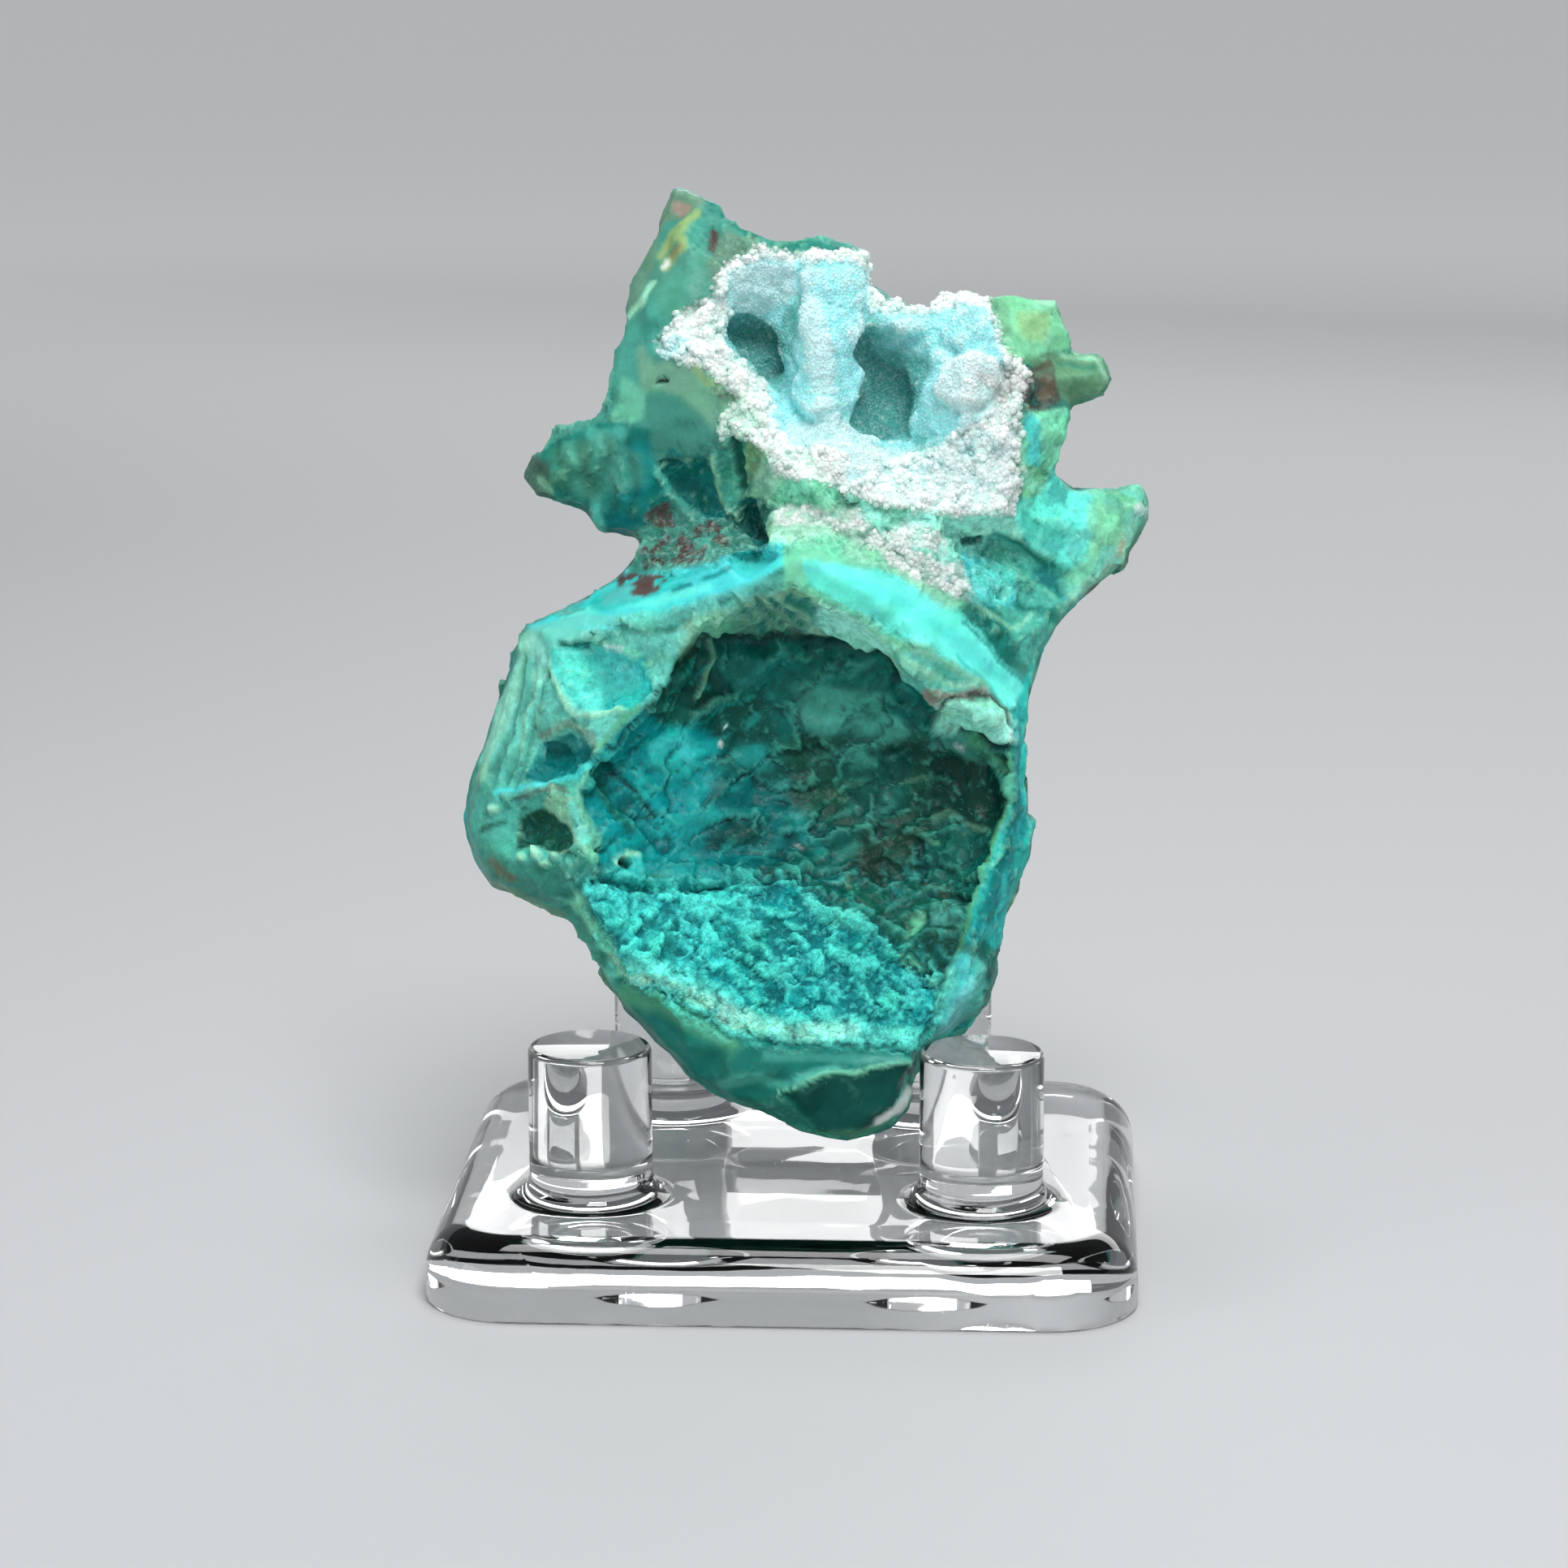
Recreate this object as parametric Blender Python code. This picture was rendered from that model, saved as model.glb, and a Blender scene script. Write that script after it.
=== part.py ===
"""A hand specimen of chrysocolla with a quartz druse, standing in a clear moulded four-peg stand.

Metres, +Z up. The origin is the centre of the stand's underside and the stone's hollow face looks
towards -Y. The stone is laid out in a frame of its own, square to that face, in millimetres:
x to the right, z up the face and y into the stone, so that its front has the lowest y.
"""

import math

import bmesh
import bpy
from mathutils import Euler, Matrix, Vector
from mathutils.geometry import delaunay_2d_cdt

MM = 0.001

# The stand, in millimetres
BASE_WIDTH = 50.0
BASE_DEPTH = 46.0
BASE_HEIGHT = 5.4
BASE_CORNER = 6.6
BASE_EDGE = 3.4
PEG_RADIUS = 4.4
PEG_FILLET = 1.8
PEG_RIM = 0.5
FRONT_PEG_X = 13.9
FRONT_PEG_Y = -10.0
FRONT_PEG_RISE = 11.0
BACK_PEG_X = 9.8
BACK_PEG_Y = 12.5
BACK_PEG_RISE = 22.0

# How the stone lies in the stand: tipped back onto the two rear pegs and turned a little
STONE_LEAN = math.radians(12.9)
STONE_TURN = math.radians(3.3)
STONE_CENTRE = (-0.7, 0.0, 33.2)

# How the stone's broken faces are finished
EDGE_ROUND = 0.7
REMESH_SIZE = 0.45
ROUGHNESS = 0.5
STONE_TRIANGLES = 7000

# The silhouette, clockwise from the spire: x, z, and the depths between which its edge runs
OUTLINE_HEAD = [
    (-7.6, 42.7, -6, -2), (-5.4, 41.6, -7, -2), (-3.5, 39.7, -8, -2), (-0.9, 38.3, -9, -1),
    (2.2, 37.8, -9, 0), (5.9, 37.6, -8.5, 0), (6.2, 35.5, -7, 0), (7.9, 34.1, -7, 0),
    (10.5, 33.6, -8, 1), (11.1, 34.4, -8, 1), (13, 34.9, -8, 1), (14.8, 34.5, -7, 0),
]
OUTLINE_TABS = [
    (19.5, 34.5, -6, -1), (20.4, 31.9, -6, -1), (20.6, 30.8, -5.5, -1), (22.7, 30.6, -5, -2),
    (23.5, 28.8, -5, -2), (22.9, 27.6, -5, -1), (20.6, 27, -6, 1), (20.3, 24.7, -7, 2),
    (19.2, 22.3, -7, 2),
]
OUTLINE_SPUR = [
    (20.6, 21.1, -5, 2), (23.1, 21, -4, 0), (25.7, 21.5, -3, 0), (26.6, 19.5, -3, 0),
    (24.7, 15.9, -4, 1), (21.4, 13.2, -5, 3),
]
OUTLINE_RIGHT = [
    (19.7, 11.4, -6, 4), (18.5, 9.3, -6, 5), (17.4, 6.3, -7, 6), (17.3, 0.9, -7, 7),
    (17.6, -2.6, -7, 7), (17, -6.8, -7, 6), (16, -9.6, -7, 6), (15, -11.7, -7, 5),
    (15.2, -13.1, -7, 4), (14.5, -15.9, -6, 3),
]
OUTLINE_FOOT = [
    (13, -17.9, 0, 3), (10, -19.6, -0.7, 3), (9.1, -21, -9, -2), (9, -22.6, -9.5, -3),
    (7.5, -24.1, -10, -5), (4.4, -25.2, -10.5, -6), (1.6, -24.5, -10, -6), (-0.9, -23.4, -10, -5),
    (-3.7, -22.3, -9.5, -4), (-6.7, -20.8, -9, -2), (-8.4, -19, -8.5, -1),
]
OUTLINE_LEFT = [
    (-11.3, -16, -8, 1), (-13.4, -12.6, -8, 2), (-15.4, -9.7, -7.5, 3), (-18.2, -8.3, -7, 3),
    (-20.9, -7.3, -6, 2), (-22.4, -4.9, -5, 2), (-22.9, -2.6, -5, 2), (-22.1, 1.5, -5, 3),
    (-20.6, 5.7, -4, 3), (-19.2, 9.7, -4, 2), (-18.1, 11.5, -5, 2), (-14.6, 13.1, -6, 2),
    (-11.5, 15.2, -6, 1), (-9.7, 17.5, -6, 1),
]
OUTLINE_KNOB = [
    (-13.1, 18, -5, -1), (-14.1, 19.6, -5, -1), (-17.6, 20.6, -5, -2), (-18.7, 21.9, -4.5, -2),
    (-17.9, 23.5, -5, -2), (-16.2, 24.3, -6, -2), (-15.3, 25.7, -6, -1), (-13.2, 25.9, -7, 0),
]
OUTLINE_SLAB = [
    (-12.6, 27.4, -7, 0), (-12.1, 29.8, -7, 0), (-10.9, 32.8, -7, -1), (-10.4, 35.7, -7, -1),
    (-9.2, 38.1, -6.5, -2), (-8.4, 40.6, -6, -2),
]

# Edges and hollows of the front face: x, z, y. The big hollow has a rim, a wall and a floor.
HOLLOW_RIM = [
    (-12.9, 1.9, -10.5), (-9.7, 5.1, -11), (-7.6, 8.4, -11), (-6.4, 10.6, -11.5),
    (-3.4, 12, -12), (1.1, 13, -12.5), (5.2, 11.3, -12), (7.7, 9.3, -11.5), (10.5, 6.5, -11),
    (15.7, 3.6, -9.5), (16, 0.3, -9), (15.3, -3.1, -9), (13.8, -6.8, -9.5), (12.1, -10.4, -10),
    (10.6, -13.6, -10.2), (9.8, -17.1, -10.4), (7.6, -19, -11), (4.2, -19.6, -11.5),
    (0.5, -19.9, -11.5), (-3.7, -18.3, -11.5), (-7.4, -15.9, -11.3), (-10.8, -12.1, -11),
    (-13.1, -8.3, -10.8), (-13.8, -4.5, -10.5), (-13.8, -1.1, -10.2),
]
HOLLOW_WALL = [
    (-11.8, 1.5, -8), (-8.4, 4.1, -8), (-6.5, 6.9, -7), (-5.4, 9.5, -6.5), (-2.4, 10.4, -6.5),
    (1.9, 10.5, -6.5), (5.4, 9.5, -6.5), (7.4, 7.2, -6), (10, 4.7, -6), (14.3, 2.4, -6.5),
    (14.8, -1.1, -6.5), (13.4, -4.8, -7), (11.4, -8.8, -8),
]
HOLLOW_FLOOR = [
    (1.1, 6.7, -4.5), (-3.8, 5.5, -5), (5.4, 4.4, -4), (9.5, 0.3, -4.2), (-6.7, 0.9, -6),
    (-2.1, 0.3, -4.5), (3.7, -0.8, -4), (-9.5, -3.7, -7.5), (-3.8, -4.8, -6), (2, -4.8, -5),
    (7.7, -5.4, -5.5),
]
# The ledge across the hollow, and the crackled apron that slopes out below it
LEDGE = [
    (-12.6, -6.8, -9.8), (-9.4, -7.2, -9), (-3.8, -6.7, -8.3), (1.1, -6.5, -8),
    (4.2, -8.7, -8.6), (8.2, -10.4, -9),
]
APRON = [
    (-7.7, -11.3, -10.4), (-2, -11.9, -10.2), (3.6, -13, -10.4), (7.3, -14.7, -10.4),
    (-4.9, -15.2, -11), (0.8, -16.5, -11.3), (5.3, -16.8, -11),
]
# The peaked ridge over the hollow and the upper edge of its bright bands
TOP_RIDGE = [
    (-17.1, 10.8, -6.5), (-11.7, 11.7, -9.5), (-6.6, 12.7, -11.5), (-2.6, 13.7, -13),
    (1.1, 15.8, -14), (5.3, 13.4, -13.2), (9.2, 10.8, -12.2), (13.3, 7.7, -10.5),
    (16.3, 5.4, -8.5),
]
BAND_EDGE = [
    (-13.2, 12.4, -8), (-9.4, 14.8, -9), (-4.3, 16, -11.5), (-0.9, 16.8, -12.5),
    (1.1, 17.5, -12.5), (4.2, 17.3, -11.5), (8.1, 15.1, -11), (12.1, 12.3, -10.2),
    (15.6, 9.5, -8.5),
]
# The left shoulder: a shallow scoop, a pit below it and a rounded nodule with a pit of its own
SCOOP = [(-15.8, 9.5, -8), (-15.2, 6.6, -8.5), (-12.6, 4.8, -9.8), (-9.4, 5.9, -11)]
PIT_EDGE = [(-17.9, 0.3, -7.5), (-16.8, 2.9, -7), (-14.5, 4.4, -8.8)]
NODULE = [
    (-20.4, -1.1, -6.5), (-17.4, -0.1, -9), (-15, -0.8, -10.3), (-13.8, -3.6, -10.6),
    (-14.4, -6.7, -10.2), (-17.9, -6.8, -8.8), (-20.6, -4.8, -6.8),
]
SHOULDER_SPOTS = [
    (-12.6, 8.6, -8), (-11.5, 6.9, -8.5), (-15.7, 2.1, -5.2), (-16.9, -2.8, -7),
    (-16.9, -4.8, -9.5), (-19.9, 0.3, -6), (-18.7, 4.9, -6), (-17.1, 7.2, -6.5),
    (-15.7, -8.3, -9),
]
FOOT_FACET = [(1.1, -21.2, -12), (4.2, -20.1, -12), (8.6, -19.2, -11.2), (7.8, -21.5, -10.6)]
FOOT_SPOTS = [(6.2, -23, -11), (-3.7, -20.6, -11.2), (-6.6, -18.3, -10.8), (-9.4, -15, -10.2)]
RIGHT_RIDGE = [
    (16.4, 3.5, -8.6), (16.5, -0.8, -8.6), (16, -4.2, -8.6), (14.6, -7.9, -8.8),
    (13.6, -11.3, -9), (12.7, -14.7, -9.2), (11.2, -17, -9.2),
]
# The waist between body and head, with its crevice, and the spur on the right
WAIST_SPOTS = [
    (-2.1, 18.2, -4.5), (-2.3, 15.7, -9), (-6.1, 17.5, -6.5), (-8.9, 15.8, -7), (-4.1, 18.7, -6),
    (-0.9, 19.6, -9), (1.9, 19.2, -10.5), (7, 17.2, -11.2), (10.4, 15.3, -11), (13.6, 13.1, -10),
    (16.5, 10, -8), (16.3, 12.7, -6.5), (14.8, 15.8, -7), (18.6, 15.3, -6), (19.2, 13, -6),
    (11.9, 18, -9), (16.2, 18.6, -8.5), (20.3, 18.7, -6), (23.2, 17.9, -5.2), (24.8, 19.9, -4),
]
# The head: a waxy slab and knob on the left, the druse in the middle, two tabs on the right
SLAB_SPOTS = [
    (-7.5, 38.6, -8), (-6.6, 35.6, -9), (-9.5, 32.8, -8.5), (-10, 28.2, -9), (-6.5, 29.9, -10),
    (-7.2, 26.5, -9.5), (-4, 26.1, -11), (-11.2, 24, -8), (-14.9, 23, -7), (-15.8, 21.6, -6.5),
    (-11.2, 20.4, -7.5), (-7.8, 22.1, -7.5), (-6.7, 19.9, -6), (-3.8, 22, -8), (-3.7, 23.8, -11),
]
DRUSE_LIP = [
    (-8.2, 31.7, -9.5), (-5.4, 32.1, -10), (-3.5, 29.2, -11), (-1.8, 26.3, -11.5),
    (-0.6, 23.1, -12), (2.5, 20.6, -12.3), (6.4, 19.6, -12.3), (11, 19.1, -11.6),
    (15.2, 18.9, -10.8), (16.4, 23, -10.2), (16.9, 26.4, -10), (16.5, 29.9, -9.8),
    (14.8, 32.5, -9.2), (12.5, 33.1, -9), (10.9, 32.1, -8.6), (6.8, 32.6, -8), (4.8, 35.4, -9),
    (1.9, 36.3, -9.2), (-1.5, 36.6, -9.2), (-4.3, 35, -9.2),
]
DRUSE_SPOTS = [
    (-2.1, 31.5, -4.5), (-0.5, 28.8, -5), (1.9, 33.9, -9.5), (2.6, 30.4, -10.5), (2.8, 27, -10),
    (8, 30.9, -4.5), (7.7, 26.9, -4.5), (9.1, 24.1, -6.5), (5.4, 29, -7), (13, 29.2, -11),
    (13, 25.8, -11), (11, 27.6, -9.5), (15, 27.6, -9.8), (11, 22.5, -9), (4.7, 22.7, -11.5),
    (7.6, 22.5, -10), (-0.6, 34.4, -7.5), (0.8, 25.4, -9),
]
TAB_SPOTS = [(17.1, 32.3, -8), (19.1, 28.6, -7.5), (21.4, 28.7, -6.4), (18.2, 24.2, -9)]

# The back, broken from the vein in a few large rough faces: x, z, y
BACK_BREAK = [
    (-15, 8, 6), (-8, 10, 9), (-1, 7, 10), (5, 9, 9.2), (12, 6, 8.6), (15, 2, 8.2),
]
BACK_SPOTS = [
    (-16, -2, 6), (-9.5, -4, 9.9), (-2, -2, 9.6), (9.5, -3, 8.8), (13, -8, 7.2), (-13, -8, 5.4),
    (-7, -9, 7.2), (0, -10, 8.6), (7, -11, 7.6), (-6, -15, 4), (1, -18, 1.6), (9, -16, 3.6),
    (-10, 12, 5.4), (-4, 17, 5), (5, 16, 7), (13, 14, 5.6), (19, 15, 4.2), (23, 18, 2.6),
    (-12, 22, 1.6), (-6, 23, 4.4), (1, 22, 6.4), (9, 23, 6), (16, 22, 4.2), (-8, 30, 3.2),
    (0, 30, 5), (8, 30, 5.2), (15, 28, 3.4), (-6, 36, 1.4), (2, 35, 2.6), (18, 31, 1.2),
]


def clear_scene():
    for existing in list(bpy.data.objects):
        bpy.data.objects.remove(existing, do_unlink=True)


def new_material(name, colour, roughness, transmission=0.0, ior=1.5):
    material = bpy.data.materials.new(name)
    material.use_nodes = True
    shader = material.node_tree.nodes["Principled BSDF"]
    shader.inputs["Base Color"].default_value = (*colour, 1.0)
    shader.inputs["Roughness"].default_value = roughness
    shader.inputs["Metallic"].default_value = 0.0
    shader.inputs["Transmission Weight"].default_value = transmission
    shader.inputs["IOR"].default_value = ior
    material.diffuse_color = (*colour, 1.0)
    return material


def object_from(name, mesh, material=None):
    data = bpy.data.meshes.new(name)
    bmesh.ops.recalc_face_normals(mesh, faces=mesh.faces)
    mesh.to_mesh(data)
    mesh.free()
    obj = bpy.data.objects.new(name, data)
    bpy.context.scene.collection.objects.link(obj)
    if material:
        data.materials.append(material)
    return obj


def rounded_rectangle(width, depth, corner, steps=7):
    """Plan outline with round corners, counterclockwise."""
    points = []
    for quarter, (side_x, side_y) in enumerate(((1, 1), (-1, 1), (-1, -1), (1, -1))):
        centre_x = side_x * (width / 2 - corner)
        centre_y = side_y * (depth / 2 - corner)
        for step in range(steps + 1):
            angle = math.pi / 2 * (quarter + step / steps)
            points.append((centre_x + corner * math.cos(angle), centre_y + corner * math.sin(angle)))
    return points


def skin_rings(mesh, rings):
    """Bridges a stack of rings of equal length and caps both ends."""
    loops = [[mesh.verts.new(point) for point in ring] for ring in rings]
    for lower, upper in zip(loops, loops[1:]):
        for index in range(len(lower)):
            following = (index + 1) % len(lower)
            mesh.faces.new((lower[index], lower[following], upper[following], upper[index]))
    mesh.faces.new(reversed(loops[0]))
    mesh.faces.new(loops[-1])


def base_plate():
    """The flat base: sharp edge below, a generous quarter-round above."""
    mesh = bmesh.new()
    rings = [[(x, y, 0.0) for x, y in rounded_rectangle(BASE_WIDTH, BASE_DEPTH, BASE_CORNER)]]
    steps = 5
    for step in range(steps + 1):
        angle = math.pi / 2 * step / steps
        inset = BASE_EDGE * (1 - math.cos(angle))
        height = BASE_HEIGHT - BASE_EDGE * (1 - math.sin(angle))
        plan = rounded_rectangle(BASE_WIDTH - 2 * inset, BASE_DEPTH - 2 * inset, BASE_CORNER - inset)
        rings.append([(x, y, height) for x, y in plan])
    skin_rings(mesh, rings)
    return object_from("base plate", mesh)


def peg(x, y, rise, sides=32):
    """One turned peg: buried in the base, filleted at its root, with a softened rim."""
    buried = 1.0
    profile = [(PEG_RADIUS + PEG_FILLET + 0.3, -buried), (PEG_RADIUS + PEG_FILLET + 0.3, -0.05)]
    for step in range(1, 5):
        angle = math.pi / 2 * step / 4
        out = PEG_FILLET * (1 - math.sin(angle))
        up = PEG_FILLET * (1 - math.cos(angle))
        profile.append((PEG_RADIUS + out, up))
    profile += [(PEG_RADIUS, rise - PEG_RIM), (PEG_RADIUS - 0.3 * PEG_RIM, rise - 0.3 * PEG_RIM)]
    profile.append((PEG_RADIUS - PEG_RIM, rise))
    mesh = bmesh.new()
    rings = []
    for radius, height in profile:
        angles = [2 * math.pi * (side + 0.5) / sides for side in range(sides)]
        rings.append([
            (x + radius * math.cos(angle), y + radius * math.sin(angle), BASE_HEIGHT + height)
            for angle in angles
        ])
    skin_rings(mesh, rings)
    return object_from("peg", mesh)


def apply_modifiers(obj):
    graph = bpy.context.evaluated_depsgraph_get()
    evaluated = bpy.data.meshes.new_from_object(obj.evaluated_get(graph))
    old = obj.data
    obj.modifiers.clear()
    obj.data = evaluated
    bpy.data.meshes.remove(old)


def join_solids(body, others):
    """Unions the others into the body and removes them."""
    for other in others:
        union = body.modifiers.new("union", "BOOLEAN")
        union.operation = "UNION"
        union.solver = "EXACT"
        union.object = other
    apply_modifiers(body)
    for other in others:
        bpy.data.objects.remove(other, do_unlink=True)


def make_stand():
    stand = base_plate()
    pegs = [peg(side * FRONT_PEG_X, FRONT_PEG_Y, FRONT_PEG_RISE) for side in (-1, 1)]
    pegs += [peg(side * BACK_PEG_X, BACK_PEG_Y, BACK_PEG_RISE) for side in (-1, 1)]
    join_solids(stand, pegs)
    stand.name = "stand"
    stand.data.name = "stand"
    stand.data.transform(Matrix.Scale(MM, 4))
    stand.data.materials.clear()
    stand.data.materials.append(new_material("clear moulded plastic", (0.95, 0.96, 0.96), 0.05, 1.0, 1.49))
    stand.data.shade_smooth()
    stand.data.set_sharp_from_angle(angle=math.radians(35))
    return stand


def inset_ring(points, distance):
    """Moves each point of a clockwise ring inwards along the bisector of its two sides."""
    moved = []
    count = len(points)
    for index, point in enumerate(points):
        before = (point - points[index - 1]).normalized()
        after = (points[(index + 1) % count] - point).normalized()
        along = (before + after).normalized()
        inward = Vector((along.y, -along.x))
        moved.append(point + inward * distance)
    return moved


def add_relief(mesh, ring, lines, spots):
    """Fills a ring with triangles that keep the given edges and pass through the given spots."""
    plan = [Vector((vertex.co.x, vertex.co.z)) for vertex in ring]
    vertices = list(ring)
    edges = []
    for line in lines:
        start = len(vertices)
        for x, z, y in line:
            plan.append(Vector((x, z)))
            vertices.append(mesh.verts.new((x, y, z)))
        edges += [(start + step, start + step + 1) for step in range(len(line) - 1)]
    for x, z, y in spots:
        plan.append(Vector((x, z)))
        vertices.append(mesh.verts.new((x, y, z)))
    border = list(range(len(ring)))
    result = delaunay_2d_cdt(plan, edges, [border], 1, 1e-5, True)
    crossings = [position for position, sources in zip(result[0], result[3]) if not sources]
    if crossings:
        raise ValueError(f"edges of the stone cross near {crossings}")
    placed = [vertices[sources[0]] for sources in result[3]]
    for triangle in result[2]:
        mesh.faces.new([placed[corner] for corner in triangle])


def broken_stone():
    """A closed stone: front relief, back relief and a rounded edge along the silhouette."""
    outline = OUTLINE_HEAD + OUTLINE_TABS + OUTLINE_SPUR + OUTLINE_RIGHT
    outline += OUTLINE_FOOT + OUTLINE_LEFT + OUTLINE_KNOB + OUTLINE_SLAB
    plan = [Vector((x, z)) for x, z, front, back in outline]
    inner = inset_ring(plan, EDGE_ROUND)
    mesh = bmesh.new()
    front_ring = []
    middle_ring = []
    back_ring = []
    for (x, z, front, back), inset in zip(outline, inner):
        front_ring.append(mesh.verts.new((inset.x, front, inset.y)))
        middle_ring.append(mesh.verts.new((x, (front + back) / 2, z)))
        back_ring.append(mesh.verts.new((inset.x, back, inset.y)))
    for first, second in ((front_ring, middle_ring), (middle_ring, back_ring)):
        for index in range(len(outline)):
            following = (index + 1) % len(outline)
            mesh.faces.new((first[index], first[following], second[following], second[index]))
    front_lines = [
        HOLLOW_RIM + HOLLOW_RIM[:1], HOLLOW_WALL, LEDGE, TOP_RIDGE, BAND_EDGE, SCOOP, PIT_EDGE,
        NODULE, FOOT_FACET, RIGHT_RIDGE, DRUSE_LIP,
    ]
    front_spots = HOLLOW_FLOOR + APRON + SHOULDER_SPOTS + FOOT_SPOTS + WAIST_SPOTS
    front_spots += SLAB_SPOTS + DRUSE_SPOTS + TAB_SPOTS
    add_relief(mesh, front_ring, front_lines, front_spots)
    add_relief(mesh, back_ring, [BACK_BREAK], BACK_SPOTS)
    return object_from("specimen", mesh)


def keep_main_body(obj):
    """Removes the loose specks that remeshing can leave beside the stone."""
    mesh = bmesh.new()
    mesh.from_mesh(obj.data)
    unseen = set(mesh.verts)
    bodies = []
    while unseen:
        body = [unseen.pop()]
        for vertex in body:
            for edge in vertex.link_edges:
                other = edge.other_vert(vertex)
                if other in unseen:
                    unseen.remove(other)
                    body.append(other)
        bodies.append(body)
    bodies.sort(key=len)
    for speck in bodies[:-1]:
        bmesh.ops.delete(mesh, geom=speck, context="VERTS")
    mesh.to_mesh(obj.data)
    mesh.free()


def weather(stone):
    """Rounds the laid-out facets into a broken natural surface of small uneven faces."""
    remesh = stone.modifiers.new("close surface", "REMESH")
    remesh.mode = "VOXEL"
    remesh.voxel_size = REMESH_SIZE
    apply_modifiers(stone)
    keep_main_body(stone)
    soften = stone.modifiers.new("soften edges", "SMOOTH")
    soften.factor = 0.5
    soften.iterations = 2
    for name, size, strength in (("lumps", 5.0, ROUGHNESS), ("chips", 1.6, ROUGHNESS / 2)):
        texture = bpy.data.textures.new(name, "CLOUDS")
        texture.noise_scale = size
        texture.noise_depth = 1
        displace = stone.modifiers.new(name, "DISPLACE")
        displace.texture = texture
        displace.texture_coords = "LOCAL"
        displace.strength = strength
        displace.mid_level = 0.5
    apply_modifiers(stone)
    triangles = sum(len(face.vertices) - 2 for face in stone.data.polygons)
    reduce = stone.modifiers.new("large facets", "DECIMATE")
    reduce.ratio = STONE_TRIANGLES / triangles
    apply_modifiers(stone)


def make_specimen():
    stone = broken_stone()
    weather(stone)
    stone.name = "specimen"
    stone.data.name = "specimen"
    tip = Euler((-STONE_LEAN, 0.0, STONE_TURN)).to_matrix().to_4x4()
    stone.data.transform(Matrix.Translation(Vector(STONE_CENTRE)) @ tip)
    stone.data.transform(Matrix.Scale(MM, 4))
    stone.data.materials.clear()
    stone.data.materials.append(new_material("chrysocolla", (0.07, 0.42, 0.42), 0.4))
    stone.data.shade_smooth()
    stone.data.set_sharp_from_angle(angle=math.radians(40))
    return stone


clear_scene()
make_stand()
make_specimen()
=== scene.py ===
import math
from itertools import product

import bmesh
import bpy
import numpy as np
from mathutils import Euler, Matrix, Vector


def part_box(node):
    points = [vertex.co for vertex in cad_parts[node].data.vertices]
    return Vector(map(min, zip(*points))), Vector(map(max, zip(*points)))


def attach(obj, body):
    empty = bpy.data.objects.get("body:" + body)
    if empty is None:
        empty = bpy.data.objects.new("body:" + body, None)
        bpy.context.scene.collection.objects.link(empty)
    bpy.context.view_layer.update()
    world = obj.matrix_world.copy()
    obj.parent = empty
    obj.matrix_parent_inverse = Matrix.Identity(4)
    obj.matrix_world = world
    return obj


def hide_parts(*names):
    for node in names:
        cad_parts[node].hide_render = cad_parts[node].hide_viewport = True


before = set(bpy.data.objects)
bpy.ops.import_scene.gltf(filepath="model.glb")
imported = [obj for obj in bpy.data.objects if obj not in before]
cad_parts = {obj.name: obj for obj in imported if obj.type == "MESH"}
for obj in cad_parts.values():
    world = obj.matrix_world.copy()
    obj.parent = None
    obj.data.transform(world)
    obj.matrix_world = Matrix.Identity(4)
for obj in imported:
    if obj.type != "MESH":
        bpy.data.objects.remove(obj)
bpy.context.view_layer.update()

# The view: a long lens a third of a metre in front of the hollow face, looking down on it a little.
camera = bpy.data.objects.new("camera", bpy.data.cameras.new("camera"))
camera.data.lens = 113.76
camera.data.sensor_width = 36.0
camera.data.clip_start = 0.01
turn = Matrix.Rotation(math.radians(3.34), 4, "Z")
look_down = Matrix.Rotation(math.radians(90 - 12.90), 4, "X")
level = Matrix.Rotation(math.radians(-0.13), 4, "Z")
camera.matrix_world = Matrix.Translation((0.0196, -0.3469, 0.1128)) @ turn @ look_down @ level
bpy.context.scene.collection.objects.link(camera)
bpy.context.scene.camera = camera
bpy.context.scene.view_settings.view_transform = "Standard"


# The studio: a pale floor that sweeps up into a bowl all round, a large soft lamp up in front,
# a weaker one on the left, one overhead, and a strip behind that lights the edges of clear plastic.
def soft_lamp(name, place, size, power, tint=(1.0, 1.0, 1.0)):
    lamp = bpy.data.lights.new(name, "AREA")
    lamp.shape = "RECTANGLE"
    lamp.size, lamp.size_y = size
    lamp.energy = power
    lamp.color = tint
    obj = bpy.data.objects.new(name, lamp)
    obj.location = place
    aim = Vector((0.0, 0.0, 0.035)) - Vector(place)
    obj.rotation_euler = aim.to_track_quat("-Z", "Y").to_euler()
    bpy.context.scene.collection.objects.link(obj)


soft_lamp("key", (0.08, -0.27, 0.46), (0.22, 0.18), 2.05)
soft_lamp("fill", (-0.44, -0.26, 0.18), (0.26, 0.26), 0.40)
soft_lamp("top", (0.02, 0.05, 0.52), (0.30, 0.20), 1.3)
soft_lamp("rear strip", (0.10, 0.42, 0.20), (0.50, 0.10), 0.5)
soft_lamp("low fill", (0.02, -0.52, 0.04), (0.50, 0.07), 0.20)
world = bpy.data.worlds.new("studio")
world.use_nodes = True
world.node_tree.nodes["Background"].inputs["Color"].default_value = (0.72, 0.76, 0.80, 1.0)
world.node_tree.nodes["Background"].inputs["Strength"].default_value = 0.17
bpy.context.scene.world = world


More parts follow.
